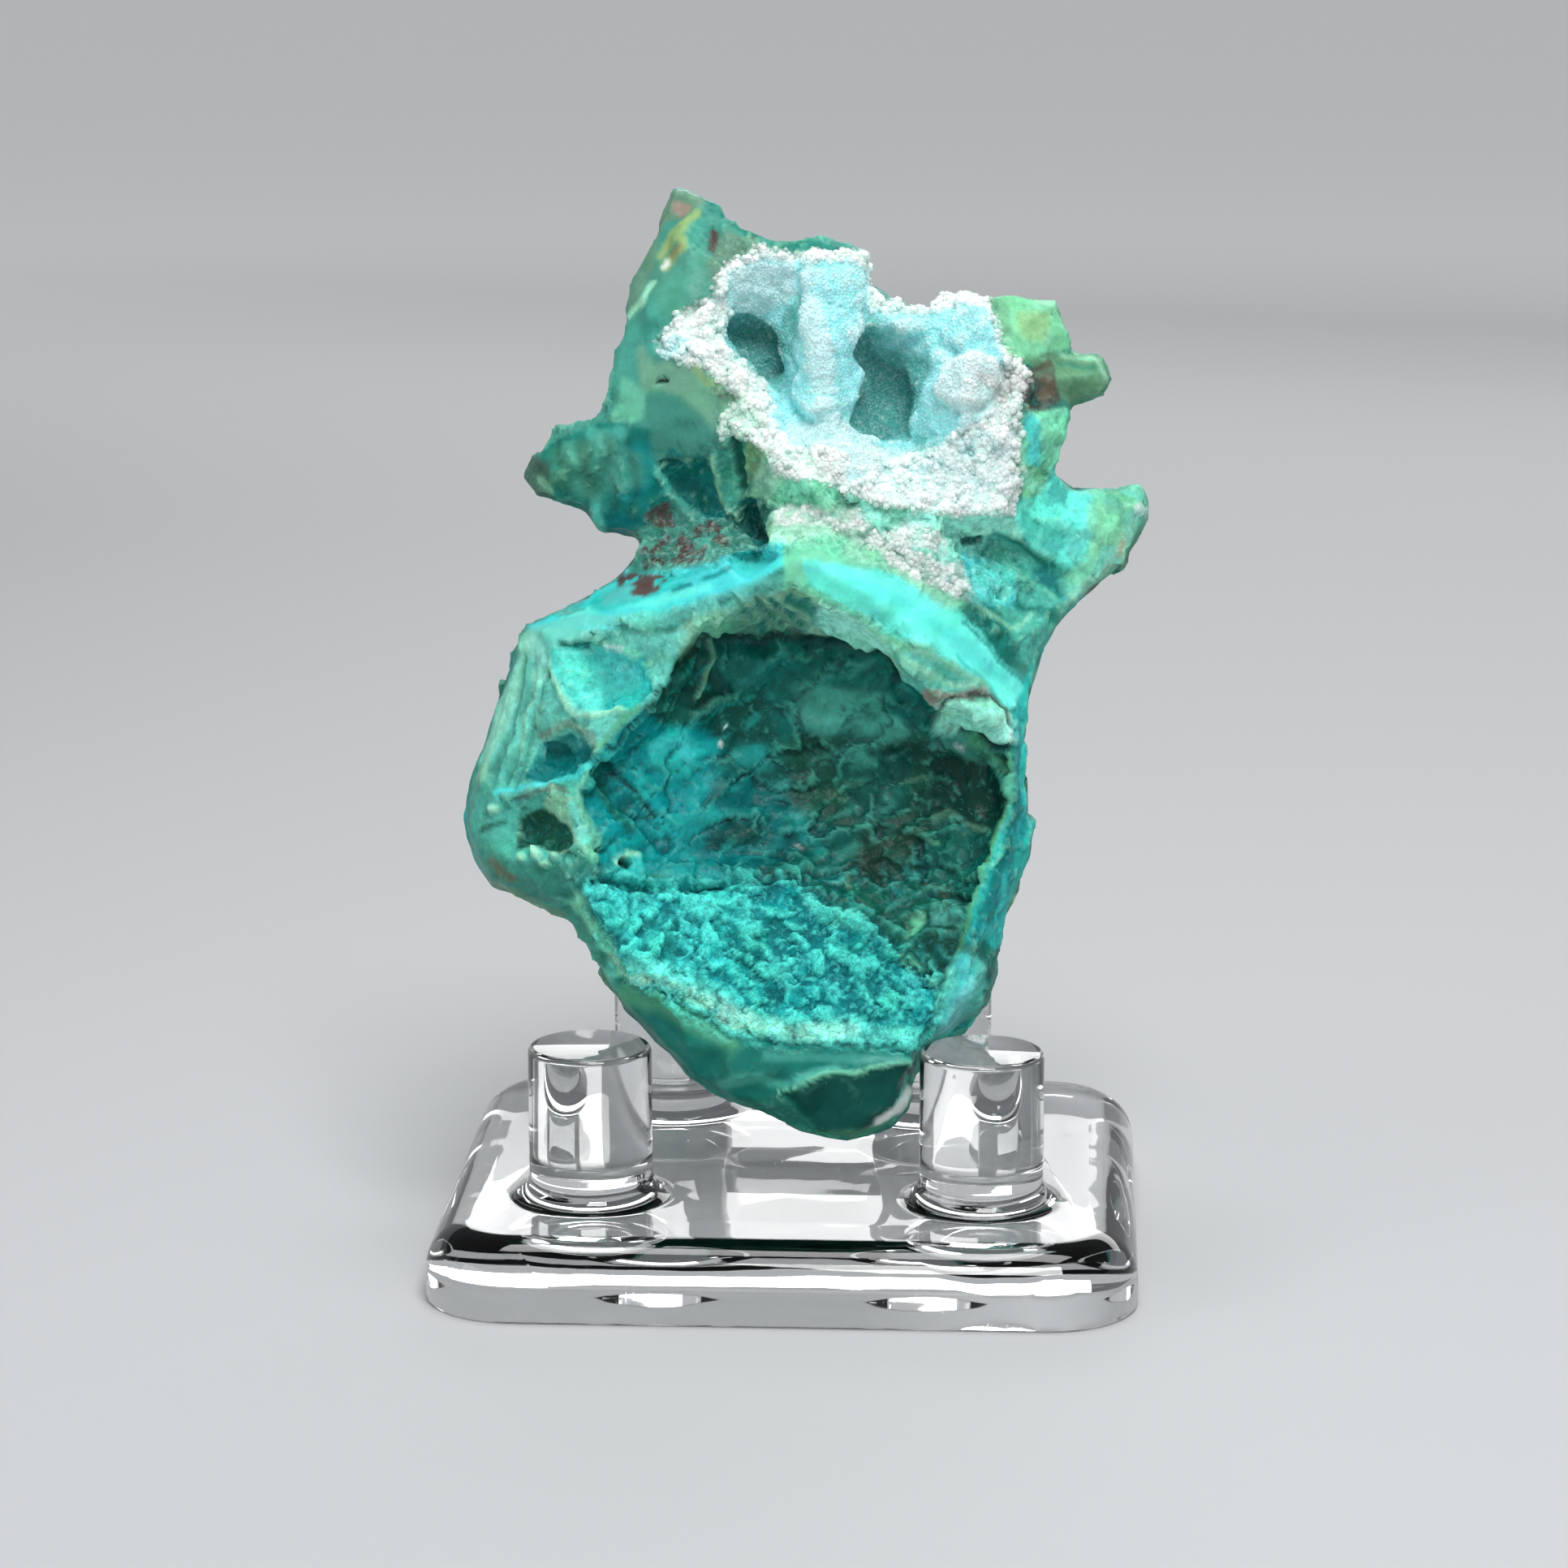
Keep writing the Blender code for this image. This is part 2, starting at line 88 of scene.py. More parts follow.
class Wire:
    """A shader socket that can be used in sums, and a maker of further nodes."""

    def __init__(self, tree, socket=None):
        self.tree = tree
        self.socket = socket

    def make(self, kind, settings=None, sockets=None, out=0):
        """A node of this kind, with its settings made first and then values or links on its sockets."""
        node = self.tree.nodes.new(kind)
        for name, value in (settings or {}).items():
            if name == "stops":
                while len(node.color_ramp.elements) < len(value):
                    node.color_ramp.elements.new(0.5)
                for element, (position, colour) in zip(node.color_ramp.elements, value):
                    element.position = position
                    element.color = (*colour, 1.0)
            else:
                setattr(node, name, value)
        for name, value in (sockets or {}).items():
            if isinstance(value, Wire):
                self.tree.links.new(value.socket, node.inputs[name])
            else:
                node.inputs[name].default_value = value
        return Wire(self.tree, node.outputs[out])

    def sum(self, operation, first, second=0.0):
        return self.make("ShaderNodeMath", {"operation": operation}, {0: first, 1: second})

    def __add__(self, other):
        return self.sum("ADD", self, other)

    def __radd__(self, other):
        return self.sum("ADD", other, self)

    def __sub__(self, other):
        return self.sum("SUBTRACT", self, other)

    def __rsub__(self, other):
        return self.sum("SUBTRACT", other, self)

    def __mul__(self, other):
        return self.sum("MULTIPLY", self, other)

    def __rmul__(self, other):
        return self.sum("MULTIPLY", other, self)

    def between(self, low, high):
        """0 below low and 1 above high, smooth in between."""
        return self.make("ShaderNodeMapRange", {"interpolation_type": "SMOOTHSTEP"},
                         {"Value": self, "From Min": low, "From Max": high})

    def mix(self, amount, first, second, blend="MIX"):
        return self.make("ShaderNodeMix", {"data_type": "RGBA", "blend_type": blend},
                         {0: amount, 6: first, 7: second}, out=2)


def new_finish(name):
    finish = bpy.data.materials.new(name)
    finish.use_nodes = True
    shader = finish.node_tree.nodes["Principled BSDF"]
    return finish, shader, Wire(finish.node_tree)


SWEEP_TURNS = 72
sweep_profile = [(0.3, 0.0), (0.9, 0.0)]
for step in range(1, 13):
    angle = math.pi / 2 * step / 12
    sweep_profile.append((0.9 + 0.7 * math.sin(angle), 0.7 * (1 - math.cos(angle))))
sweep_mesh = bmesh.new()
sweep_rings = []
for radius, height in sweep_profile:
    turns = [2 * math.pi * step / SWEEP_TURNS for step in range(SWEEP_TURNS)]
    sweep_rings.append([sweep_mesh.verts.new((radius * math.cos(a), radius * math.sin(a), height)) for a in turns])
sweep_mesh.faces.new(sweep_rings[0])
for lower, upper in zip(sweep_rings, sweep_rings[1:]):
    for step in range(SWEEP_TURNS):
        following = (step + 1) % SWEEP_TURNS
        sweep_mesh.faces.new((lower[following], lower[step], upper[step], upper[following]))
floor_data = bpy.data.meshes.new("floor")
sweep_mesh.to_mesh(floor_data)
sweep_mesh.free()
floor_data.shade_smooth()
floor = bpy.data.objects.new("floor", floor_data)
floor.location.z = -0.00005
bpy.context.scene.collection.objects.link(floor)
floor_paint, floor_shader, w = new_finish("floor paint")
floor_place = w.make("ShaderNodeTexCoord", out=3)
from_centre = w.make("ShaderNodeVectorMath", {"operation": "LENGTH"}, {0: floor_place}, out=1)
glow = w.mix(from_centre.between(0.28, 0.66), (0.0, 0.0, 0.0, 1), (0.295, 0.30, 0.305, 1))
w.tree.links.new(glow.socket, floor_shader.inputs["Emission Color"])
floor_shader.inputs["Emission Strength"].default_value = 1.0
floor_shader.inputs["Base Color"].default_value = (0.48, 0.49, 0.50, 1.0)
floor_shader.inputs["Roughness"].default_value = 0.75
floor_data.materials.append(floor_paint)


# The stone: one natural piece of chrysocolla, broken from a vein, with a glassy concave face and a
# crust of quartz grown into its head. It only rests in the stand. Its solid is remeshed finely here
# and then worked over in millimetres on its own face: x right, z up the face, y into the stone.
STONE_LEAN = math.radians(12.9)
STONE_TURN = math.radians(3.3)
STONE_CENTRE = np.array((-0.7, 0.0, 33.2))
STONE_VOXEL = 0.00026
STONE_SHARE = 0.70
face_axes = np.array(Euler((-STONE_LEAN, 0.0, STONE_TURN)).to_matrix())


def read_points(data):
    points = np.empty(len(data.vertices) * 3, np.float32)
    data.vertices.foreach_get("co", points)
    return points.reshape(-1, 3).astype(float)


def read_normals(data):
    normals = np.empty(len(data.vertices) * 3, np.float32)
    data.vertices.foreach_get("normal", normals)
    return normals.reshape(-1, 3).astype(float)


def write_points(data, points):
    data.vertices.foreach_set("co", points.astype(np.float32).ravel())
    data.update()


def bake_modifiers(obj):
    graph = bpy.context.evaluated_depsgraph_get()
    worked = bpy.data.meshes.new_from_object(obj.evaluated_get(graph))
    obj.modifiers.clear()
    obj.data = worked


stone = bpy.data.objects.new("chrysocolla_stone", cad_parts["specimen"].data.copy())
bpy.context.scene.collection.objects.link(stone)
stone.data.materials.clear()
fine = stone.modifiers.new("fine skin", "REMESH")
fine.mode = "VOXEL"
fine.voxel_size = STONE_VOXEL
relax = stone.modifiers.new("take off the facets", "SMOOTH")
relax.factor = 0.5
relax.iterations = 3
bake_modifiers(stone)

whole = bmesh.new()
whole.from_mesh(stone.data)
loose = set(whole.verts)
bodies = []
while loose:
    body = [loose.pop()]
    for vertex in body:
        for edge in vertex.link_edges:
            other = edge.other_vert(vertex)
            if other in loose:
                loose.remove(other)
                body.append(other)
    bodies.append(body)
bodies.sort(key=len)
for speck in bodies[:-1]:
    bmesh.ops.delete(whole, geom=speck, context="VERTS")
whole.to_mesh(stone.data)
whole.free()


def to_face(points):
    return (points * 1000 - STONE_CENTRE) @ face_axes


def ramp(values, low, high):
    part = np.clip((values - low) / (high - low), 0.0, 1.0)
    return part * part * (3 - 2 * part)


# The back needs fewer triangles than the face
spare = ramp(to_face(read_points(stone.data))[:, 1], -2.0, 2.0)
coarse = stone.vertex_groups.new(name="coarse")
for level in range(11):
    members = np.flatnonzero(np.round(spare * 10) == level)
    coarse.add(members.tolist(), level / 10, "REPLACE")
thin_out = stone.modifiers.new("fewer behind", "DECIMATE")
thin_out.ratio = STONE_SHARE
thin_out.vertex_group = "coarse"
thin_out.vertex_group_factor = 0.000001
thin_out.use_collapse_triangulate = True
bake_modifiers(stone)

start = read_points(stone.data)
edge_ends = np.empty(len(stone.data.edges) * 2, np.int32)
stone.data.edges.foreach_get("vertices", edge_ends)
first, second = edge_ends.reshape(-1, 2).T
neighbours = np.bincount(first, minlength=len(start)) + np.bincount(second, minlength=len(start))


def relaxed(points, rounds):
    for _ in range(rounds):
        around = [np.bincount(first, points[second, axis], len(points))
                  + np.bincount(second, points[first, axis], len(points)) for axis in range(3)]
        points = 0.4 * points + 0.6 * np.stack(around, axis=1) / neighbours[:, None]
    return points


# Broken edges are crisp, so what the fine skin rounded off is given back
start = start + 0.9 * (start - relaxed(start, 12))
write_points(stone.data, start)
normals = relaxed(read_normals(stone.data), 3)
normals /= np.linalg.norm(normals, axis=1)[:, None]
on_face = to_face(start)


def lattice(cells, seed):
    """A repeatable number from 0 to 1 for each whole-numbered cell."""
    mixed = cells[..., 0] * 374761393 + cells[..., 1] * 668265263 + cells[..., 2] * 1442695041
    mixed = mixed + seed * 974634777
    mixed = (mixed ^ (mixed >> 13)) * 1274126177
    mixed = mixed ^ (mixed >> 16)
    return (mixed & 0xFFFFFF) / 0x1000000


def swell(points, size, seed):
    """Smooth noise from -1 to 1, with lumps about size mm across."""
    scaled = points / size
    cell = np.floor(scaled).astype(np.int64)
    part = scaled - cell
    part = part**3 * (part * (part * 6 - 15) + 10)
    total = np.zeros(len(points))
    for corner in product((0, 1), repeat=3):
        weight = np.prod(np.where(corner, part, 1 - part), axis=1)
        total += weight * lattice(cell + np.array(corner), seed)
    return 2 * total - 1


def chips(points, size, seed):
    """Breaks space into cells about size mm across. For each point it gives how far the cell's edge
    is, the cell's own number from 0 to 1, and the height of a flat face tilted its own way."""
    scaled = points / size
    cell = np.floor(scaled).astype(np.int64)
    nearest = np.full(len(points), 9.0)
    following = np.full(len(points), 9.0)
    number = np.zeros(len(points))
    slope = np.zeros(len(points))
    for offset in product((-1, 0, 1), repeat=3):
        home = cell + np.array(offset)
        away = scaled - home - np.stack([lattice(home, seed + axis) for axis in range(3)], axis=1)
        distance = np.linalg.norm(away, axis=1)
        closer = distance < nearest
        following = np.where(closer, nearest, np.minimum(following, distance))
        tilt = np.stack([lattice(home, seed + 4 + axis) for axis in range(3)], axis=1) * 2 - 1
        number = np.where(closer, lattice(home, seed + 3), number)
        slope = np.where(closer, (away * tilt).sum(axis=1), slope)
        nearest = np.where(closer, distance, nearest)
    return following - nearest, number, slope


# Marks on the face follow uneven natural edges, so each vertex is looked up a little way off
wander_x = 0.24 * swell(on_face, 1.7, 1) + 0.08 * swell(on_face, 0.6, 2)
wander_z = 0.24 * swell(on_face, 1.7, 3) + 0.08 * swell(on_face, 0.6, 4)
mark_x = on_face[:, 0] + wander_x
mark_z = on_face[:, 2] + wander_z
front = ramp(-on_face[:, 1] + 0.8 * swell(on_face, 2.5, 5), 0.5, 4.0)


def distance_to(line, closed):
    """Distance in mm across the face from each vertex to a line; nought inside a closed one."""
    ends = list(line) + [line[0]] if closed else list(line)
    nearest = np.full(len(mark_x), 99.0)
    inside = np.zeros(len(mark_x), bool)
    for (x0, z0), (x1, z1) in zip(ends, ends[1:]):
        across, up = x1 - x0, z1 - z0
        along = ((mark_x - x0) * across + (mark_z - z0) * up) / max(across**2 + up**2, 1e-6)
        along = np.clip(along, 0.0, 1.0)
        nearest = np.minimum(nearest, np.hypot(mark_x - x0 - along * across, mark_z - z0 - along * up))
        if up:
            crossed = (z0 > mark_z) != (z1 > mark_z)
            inside ^= crossed & (mark_x < x0 + (mark_z - z0) * across / up)
    return np.where(inside & closed, 0.0, nearest)


def cover(line, width, soft, closed):
    return front * (1 - ramp(distance_to(line, closed), width, width + soft))


# The places on the face that differ in break and finish, from 0 to 1 at each vertex
HOLLOW = [
    (-8.2, 7.6), (-7.6, 9), (-5, 10.6), (-3, 10.4), (1, 10.4), (4, 10.2), (6, 9.6), (7.4, 8.4), (8.6, 7),
    (10.8, 5), (12.2, 3.8), (15.9, 2.4), (15.9, 0), (15.3, -2.6), (14, -5.6), (12.6, -10), (11.8, -12.4),
    (10.6, -13.8), (8.8, -12.6), (6.2, -10.6), (3, -8.6), (1, -6.8), (-4, -6.8), (-7.6, -7.2),
    (-10, -7.2), (-12.6, -6.6), (-13.2, -4), (-13.6, -0.8), (-13.2, 1.4), (-12.8, 2.6), (-10.6, 5.2),
]
APRON = [
    (-13.4, -7), (-10.6, -7.5), (-7.4, -7.6), (-4, -7.1), (1, -6.9), (3, -9.4), (6.4, -10.6),
    (8.6, -12.6), (10.4, -14), (10, -16.6), (9.4, -18.2), (6, -17.6), (2, -17.6), (-3, -17.4),
    (-6.4, -16), (-8.6, -14.4), (-10.6, -13.4), (-12.4, -11),
]
LOWER_BAND = [
    (-11.8, -13.8), (-8.6, -14.8), (-5.6, -16.4), (-3.4, -17.8), (0, -18.2), (5, -18.2), (9.4, -18.8),
    (5, -19.6), (2, -20.4), (0, -21.4), (-2.6, -22.2), (-6, -21), (-9.6, -18),
]
FOOT_FACET = [
    (0, -21.6), (2.4, -20.4), (9, -19.5), (8.6, -21.8), (7.4, -23.4), (5, -24.6), (2.6, -24.2),
]
CRUST = [
    (-8.6, 31.2), (-7, 33), (-4.6, 34), (-4.2, 36), (-1.6, 37.6), (1.4, 37), (5.8, 37.6), (6.2, 35),
    (8, 33.8), (10.4, 33.6), (11, 34.4), (12.4, 34.9), (14.4, 34.4), (15.4, 31), (17.2, 29.2), (17, 27.4),
    (16.4, 25.6), (16.6, 22), (16.4, 19.2), (11.6, 18.8), (8, 19.4), (4.4, 20.4), (2, 21.6),
    (-0.4, 21.4), (-1, 23), (-2.6, 24.4), (-4.4, 24.8), (-3, 27.2), (-5.2, 29.4), (-7, 29.6),
    (-8.4, 30.4),
]
DRUSE = [
    (-3.8, 35.6), (-1, 36.8), (5.8, 36), (6, 33.4), (8, 32.8), (10.4, 33), (11.4, 33.2), (14, 33.6),
    (15.4, 30.4), (15.2, 27.4), (13.6, 25.4), (12, 24.6), (10.4, 23.6), (8, 23), (6.6, 21.8),
    (4.8, 21), (4.6, 22.8), (2.6, 23.8), (0.6, 24), (-0.4, 26), (-1, 28.6), (-4, 31), (-3.6, 33.4),
]
in_hollow = cover(HOLLOW, 0, 0.6, True)
in_apron = cover(APRON, 0, 1.5, True)
in_crust = cover(CRUST, 0, 0.4, True)
in_druse = cover(DRUSE, 0, 0.3, True)
in_band = np.maximum(cover(LOWER_BAND, 0, 0.5, True), cover(FOOT_FACET, 0, 0.4, True))
on_bands = cover([(-17, 11.4), (-11, 13.2), (-5, 14.4), (0.6, 15.8), (6, 13.4), (11, 11), (16, 7)], 1.0, 0.8, False)
on_slab = cover([(-7.4, 40), (-8.4, 35), (-9, 30), (-8, 26)], 2.6, 1.2, False)
on_tabs = cover([(15.4, 34.4), (20.4, 33.8), (20.4, 31), (23.4, 30.4), (23, 27.2), (19.6, 26.8), (16, 30)], 0, 0.5, True)
on_spur = cover([(17, 20), (20, 22), (26.5, 22), (26.5, 18), (21.4, 13), (19.4, 15.4), (17.4, 17)], 0, 0.6, True)
on_knob = cover([(-19, 22.4), (-13, 25.6), (-9, 24.4), (-9.4, 18.4), (-13.6, 17.6), (-18, 19.8)], 0, 0.8, True)
on_left_edge = cover([(-18, 11), (-20, 5), (-22, -1), (-20.8, -6.6), (-15.6, -9)], 1.8, 1.0, False)
on_waist = cover([(-8, 16.8), (-3, 17.6), (3, 19), (9, 17), (15, 14.6)], 1.4, 1.5, False)
smooth = np.clip(in_band + on_bands + on_slab + 0.5 * on_tabs + 0.2 * on_spur + 0.5 * (on_knob + on_left_edge), 0, 1)
behind = 1 - front

# The break itself: flat chips of three sizes, tilted every way, with soft shell-like steps in the
# hollow, rounded sprays of quartz in the druse and coarser fracture behind
stirred = on_face + 0.40 * np.stack([swell(on_face, 1.3, 6), swell(on_face, 1.3, 7), swell(on_face, 1.3, 8)], 1)
slanted = stirred @ np.array(((0.90, 0.0, -0.42), (0.0, 1.0, 0.0), (0.42, 0.0, 0.90)))
slanted = slanted * np.array((0.65, 1.0, 1.20))
big_gap, big_tone, big_slope = chips(slanted, 3.0, 100)
gap, tone, slope = chips(stirred, 1.5, 120)
small_gap, small_tone, small_slope = chips(stirred, 0.75, 140)
spray_gap, spray_tone, spray_slope = chips(on_face, 1.7, 160)
shells = 1 - np.abs(swell(slanted, 2.6, 11))
small_swell = swell(stirred, 0.8, 12)
rest = (1 - in_hollow) * (1 - in_apron) * (1 - in_crust) * (1 - smooth) * (1 - on_waist) * front

lift = 0.14 * swell(on_face, 4.0, 10) * (1 - 0.6 * smooth)
lift += in_hollow * (0.26 * (shells - 0.65) + 0.60 * big_slope + 0.26 * slope + 0.04 * small_swell)
low_right = cover([(0, -7), (3, -6.4), (12, -6.4), (12.4, -9.4), (10.6, -13.6), (6, -11), (3, -9)], 0, 1.6, True) * in_hollow
flaked = (on_face + 0.3 * (stirred - on_face)) @ np.array(((0.80, 0.0, 0.60), (0.0, 1.0, 0.0), (-0.60, 0.0, 0.80)))
flake_gap, flake_tone, flake_slope = chips(flaked * np.array((0.60, 1.0, 1.15)), 1.2, 200)
crumple = 1.0 * flake_slope + 0.50 * small_slope + 0.6 * (flake_tone - 0.5) + 0.06 * small_swell
lift += (in_apron + 0.5 * low_right) * 0.55 * crumple
lift += in_druse * (0.16 * ramp(spray_gap, 0.0, 0.6) - 0.1 + 0.12 * slope + 0.06 * small_slope)
lift += in_crust * (1 - in_druse) * (0.55 * slope + 0.30 * small_slope + 0.15 * (small_tone - 0.5))
lift += on_waist * (0.36 * slope + 0.20 * small_slope + 0.08 * small_swell)
calm = 0.35 + 0.65 * ramp(np.abs(normals @ face_axes)[:, 1], 0.15, 0.60)
lift += rest * (0.10 * swell(on_face, 1.6, 51) + calm * (0.28 * slope + 0.10 * small_slope + 0.04 * small_swell))
lift += smooth * (0.06 * swell(on_face, 1.8, 53) + 0.10 * big_slope + 0.02 * small_swell)
drawn_out = stirred @ np.array(((0.80, 0.0, 0.60), (0.0, 1.0, 0.0), (-0.60, 0.0, 0.80))) * np.array((0.35, 1.0, 0.80))
drawn_out = drawn_out + 0.9 * np.stack([swell(on_face, 3.4, 57), swell(on_face, 3.4, 58), swell(on_face, 3.4, 59)], 1)
back_gap, back_tone, back_slope = chips(drawn_out, 3.8, 180)
crumbled = ramp(swell(on_face, 4.2, 90) + 0.4 * swell(on_face, 1.5, 91), 0.05, 0.55)
lift += behind * calm * (0.35 * swell(on_face, 3.2, 56) + 0.70 * back_slope * (0.3 + 0.7 * back_tone))
lift += behind * calm * (0.04 * small_swell + crumbled * (0.32 * slope + 0.16 * small_slope))


def carve(line, depth, width, soft=0.35):
    """Cuts a groove along a line on the face, or raises a ridge where depth is negative."""
    lift[:] -= depth * cover(line, width, soft, False)


# Slanting ribs and cracks of the hollow's left side, and the crack over the apron
carve([(-13.1, 1.3), (-11.6, -0.7), (-10.0, -2.5), (-8.4, -4.3)], 0.45, 0.40)
carve([(-12.6, 1.6), (-10.7, -0.3), (-9.0, -2.2)], 0.25, 0.05, 0.2)
carve([(-12.0, 2.6), (-9.4, -0.2), (-7.4, -3.0)], -0.25, 0.1, 0.5)
carve([(-13.2, -6.7), (-10.6, -7.3), (-7.6, -7.4), (-4, -6.8), (1, -6.5)], 0.60, 0.10, 0.3)
carve([(-10.8, -7.4), (-10.7, -9.6)], 0.35, 0.05, 0.2)
carve([(-7.6, -7.5), (-7.4, -8.6)], 0.35, 0.05, 0.2)
carve([(-12.4, -6.2), (-11.4, -5.4), (-10.4, -5.2), (-10.4, -6.6), (-11.8, -6.8)], -0.35, 0.3, 0.3)
carve([(-11.2, -5.6), (-11.1, -5.7)], 0.9, 0.15, 0.3)
# The wedge and blocks on the hollow's right side
carve([(1.1, -7.1), (2.8, -8.8), (6.4, -10.1)], -0.45, 0.15, 0.4)
carve([(6.0, -5.0), (7.6, -4.4), (8.6, -4.8)], -0.15, 0.7, 0.8)
carve([(10.7, -9.2), (12.0, -9.0)], -0.35, 0.4, 0.3)
carve([(10.6, -7.9), (12.8, -8.1)], 0.35, 0.08, 0.25)
carve([(8.6, -3.1), (10.0, -3.5), (12.8, -3.2)], -0.35, 0.1, 0.35)
carve([(9.7, -4.2), (10.0, -6.6)], 0.35, 0.2, 0.3)
# The hood: its lower lip stands proud of the hollow all the way round the top
carve([(-5.2, 9.9), (-3, 10.0), (1, 9.9), (4, 9.7), (6.2, 8.9), (8, 7.0), (10.4, 4.7)], 0.60, 0.15, 0.7)
carve([(-8.2, 7.6), (-5.2, 9.9)], 0.25, 0.15, 0.7)
carve([(10.4, 4.6), (12.4, 3.7), (14, 3.0), (16, 2.5)], 0.55, 0.05, 0.4)
for rib_x, rib_z in ((-3.0, 12.5), (-1.8, 12.5), (-0.6, 12.7), (0.6, 12.9), (1.8, 12.6)):
    carve([(rib_x, rib_z), (rib_x + 2.9, rib_z - 2.1)], 0.35, 0.08, 0.3)
carve([(-4.6, 11.2), (-5.0, 9.0), (-6.0, 6.2)], -0.30, 0.05, 0.3)
carve([(11.0, 5.4), (12.5, 6.2), (14.6, 6.0), (15.6, 5.2), (16, 4.2)], 0.30, 0.05, 0.2)
# The scalloped lip between apron and lower band, and the foot's facet edge
carve([(-11.4, -13.7), (-9, -14.4), (-6.4, -15.9), (-3.6, -17.6), (0.4, -18.1), (4.6, -18.0), (9, -18.6)], 0.35, 0.05, 0.3)
carve([(-0.2, -21.5), (2.6, -20.3), (9, -19.4)], -0.20, 0.03, 0.3)
# The left shoulder: scoop rim, streaks down the edge, the nodule's pit and bumps
carve([(-16.3, 8.6), (-15.6, 6.4), (-14.4, 5.0), (-11.2, 5.0)], -0.30, 0.05, 0.4)
carve([(-15.9, 9.9), (-13.6, 9.8)], 0.40, 0.10, 0.25)
for streak_x in (-18.4, -17.5, -16.8):
    carve([(streak_x, 9.0), (streak_x - 0.9, 4.5), (streak_x - 2.2, 0.0)], 0.22, 0.06, 0.25)
carve([(-17.6, -3.3), (-15.6, -3.7)], 0.50, 0.4, 0.7)
for bump_x, bump_z in ((-18.6, -5.1), (-17.4, -4.9), (-16.8, -5.5), (-16.0, -4.9), (-20.4, -1.6)):
    carve([(bump_x, bump_z), (bump_x + 0.1, bump_z)], -0.40, 0.10, 0.4)
# Head: black pit, dark hollow under the slab, crevice at the waist, ruffles beside the druse
carve([(-8.6, 28.2), (-8.1, 28.2)], 0.5, 0.03, 0.16)
carve([(-6.8, 33.0), (-5.6, 33.6)], 0.5, 0.10, 0.25)
carve([(-7.4, 21.8), (-5.4, 21.4), (-4.8, 19.8)], 0.60, 0.6, 0.5)
carve([(-2.5, 19.6), (-2, 18), (-1.4, 17)], 0.90, 0.20, 0.5)
carve([(-4.7, 23), (-4.5, 21), (-4.1, 19.6), (-3.2, 18.6)], -0.35, 0.06, 0.3)
carve([(-3.8, 25), (-3, 23), (-2.8, 21)], 0.60, 0.10, 0.3)
carve([(17.4, 29.6), (18.4, 27.8), (18.0, 26.2)], 0.40, 0.2, 0.5)
carve([(15.2, 16.6), (17.4, 15.6), (19.8, 14.2)], 0.50, 0.4, 0.8)
carve([(13.0, 16.9), (13.7, 17.0)], 0.6, 0.15, 0.3)

# The druse: a broad column between two pits, a dome low on the right, and round heads along the rim
carve([(3.4, 35.6), (3.6, 31.5), (3.4, 28.6), (3.0, 27.6)], -0.9, 1.5, 0.9)
carve([(-2.8, 32.2), (-1.4, 31.2), (-0.9, 29.6)], 1.1, 0.5, 0.7)
carve([(6.2, 30.4), (7.4, 28.2), (7.4, 25.8), (6.4, 26.0)], 1.0, 0.9, 0.8)
carve([(8.6, 31.8), (9.8, 31.0)], -0.5, 0.5, 0.9)
carve([(12.2, 31.6), (13.4, 32.4)], -0.5, 0.6, 0.9)
carve([(13.0, 28.0), (13.5, 28.4)], -0.8, 1.2, 1.0)
carve([(2.8, 22.9), (5.8, 22.4)], -0.7, 0.7, 0.9)
carve([(9.6, 24.9), (11.0, 27.4), (11.2, 29.6)], -0.4, 0.4, 0.7)
for head_x, head_z in ((8.6, 21.8), (11.2, 22.6), (13.4, 22.2), (15.2, 21.0), (12.4, 20.4), (9.8, 20.3), (15.6, 24.6)):
    carve([(head_x, head_z), (head_x + 0.2, head_z)], -0.45, 0.4, 0.9)

# It leans on four pegs, two in front and two taller ones behind, and keeps a little way off each:
# the peg's place across the base and its height above the base's top
PEGS = [(-13.9, -10.0, 11.0), (13.9, -10.0, 11.0), (-9.8, 12.5, 22.0), (9.8, 12.5, 22.0)]
PEG_RADIUS = 4.4
BASE = (50.0, 46.0, 5.4)
PEG_CLEARANCE = 0.2
for peg_x, peg_y, rise in PEGS:
    aside = np.hypot(start[:, 0] * 1000 - peg_x, start[:, 1] * 1000 - peg_y) - PEG_RADIUS
    above = start[:, 2] * 1000 - BASE[2] - rise
    lift = np.minimum(lift, np.hypot(np.maximum(aside, 0), np.maximum(above, 0)) - PEG_CLEARANCE)

limit = np.array(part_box("specimen"))
worked = start + normals * (lift * 0.001)[:, None]
worked = np.clip(worked, limit[0], limit[1])
write_points(stone.data, worked)
stone.data.shade_smooth()

# How far each vertex stands out of its surroundings, in mm: above nought on an edge, below in a groove
outward = read_normals(stone.data)
small_edge = np.einsum("ij,ij->i", worked - relaxed(worked, 5), outward) * 1000
broad_edge = np.einsum("ij,ij->i", worked - relaxed(worked, 40), outward) * 1000
print("EDGES", np.percentile(small_edge, (5, 25, 50, 75, 95)), np.percentile(broad_edge, (5, 25, 50, 75, 95)))

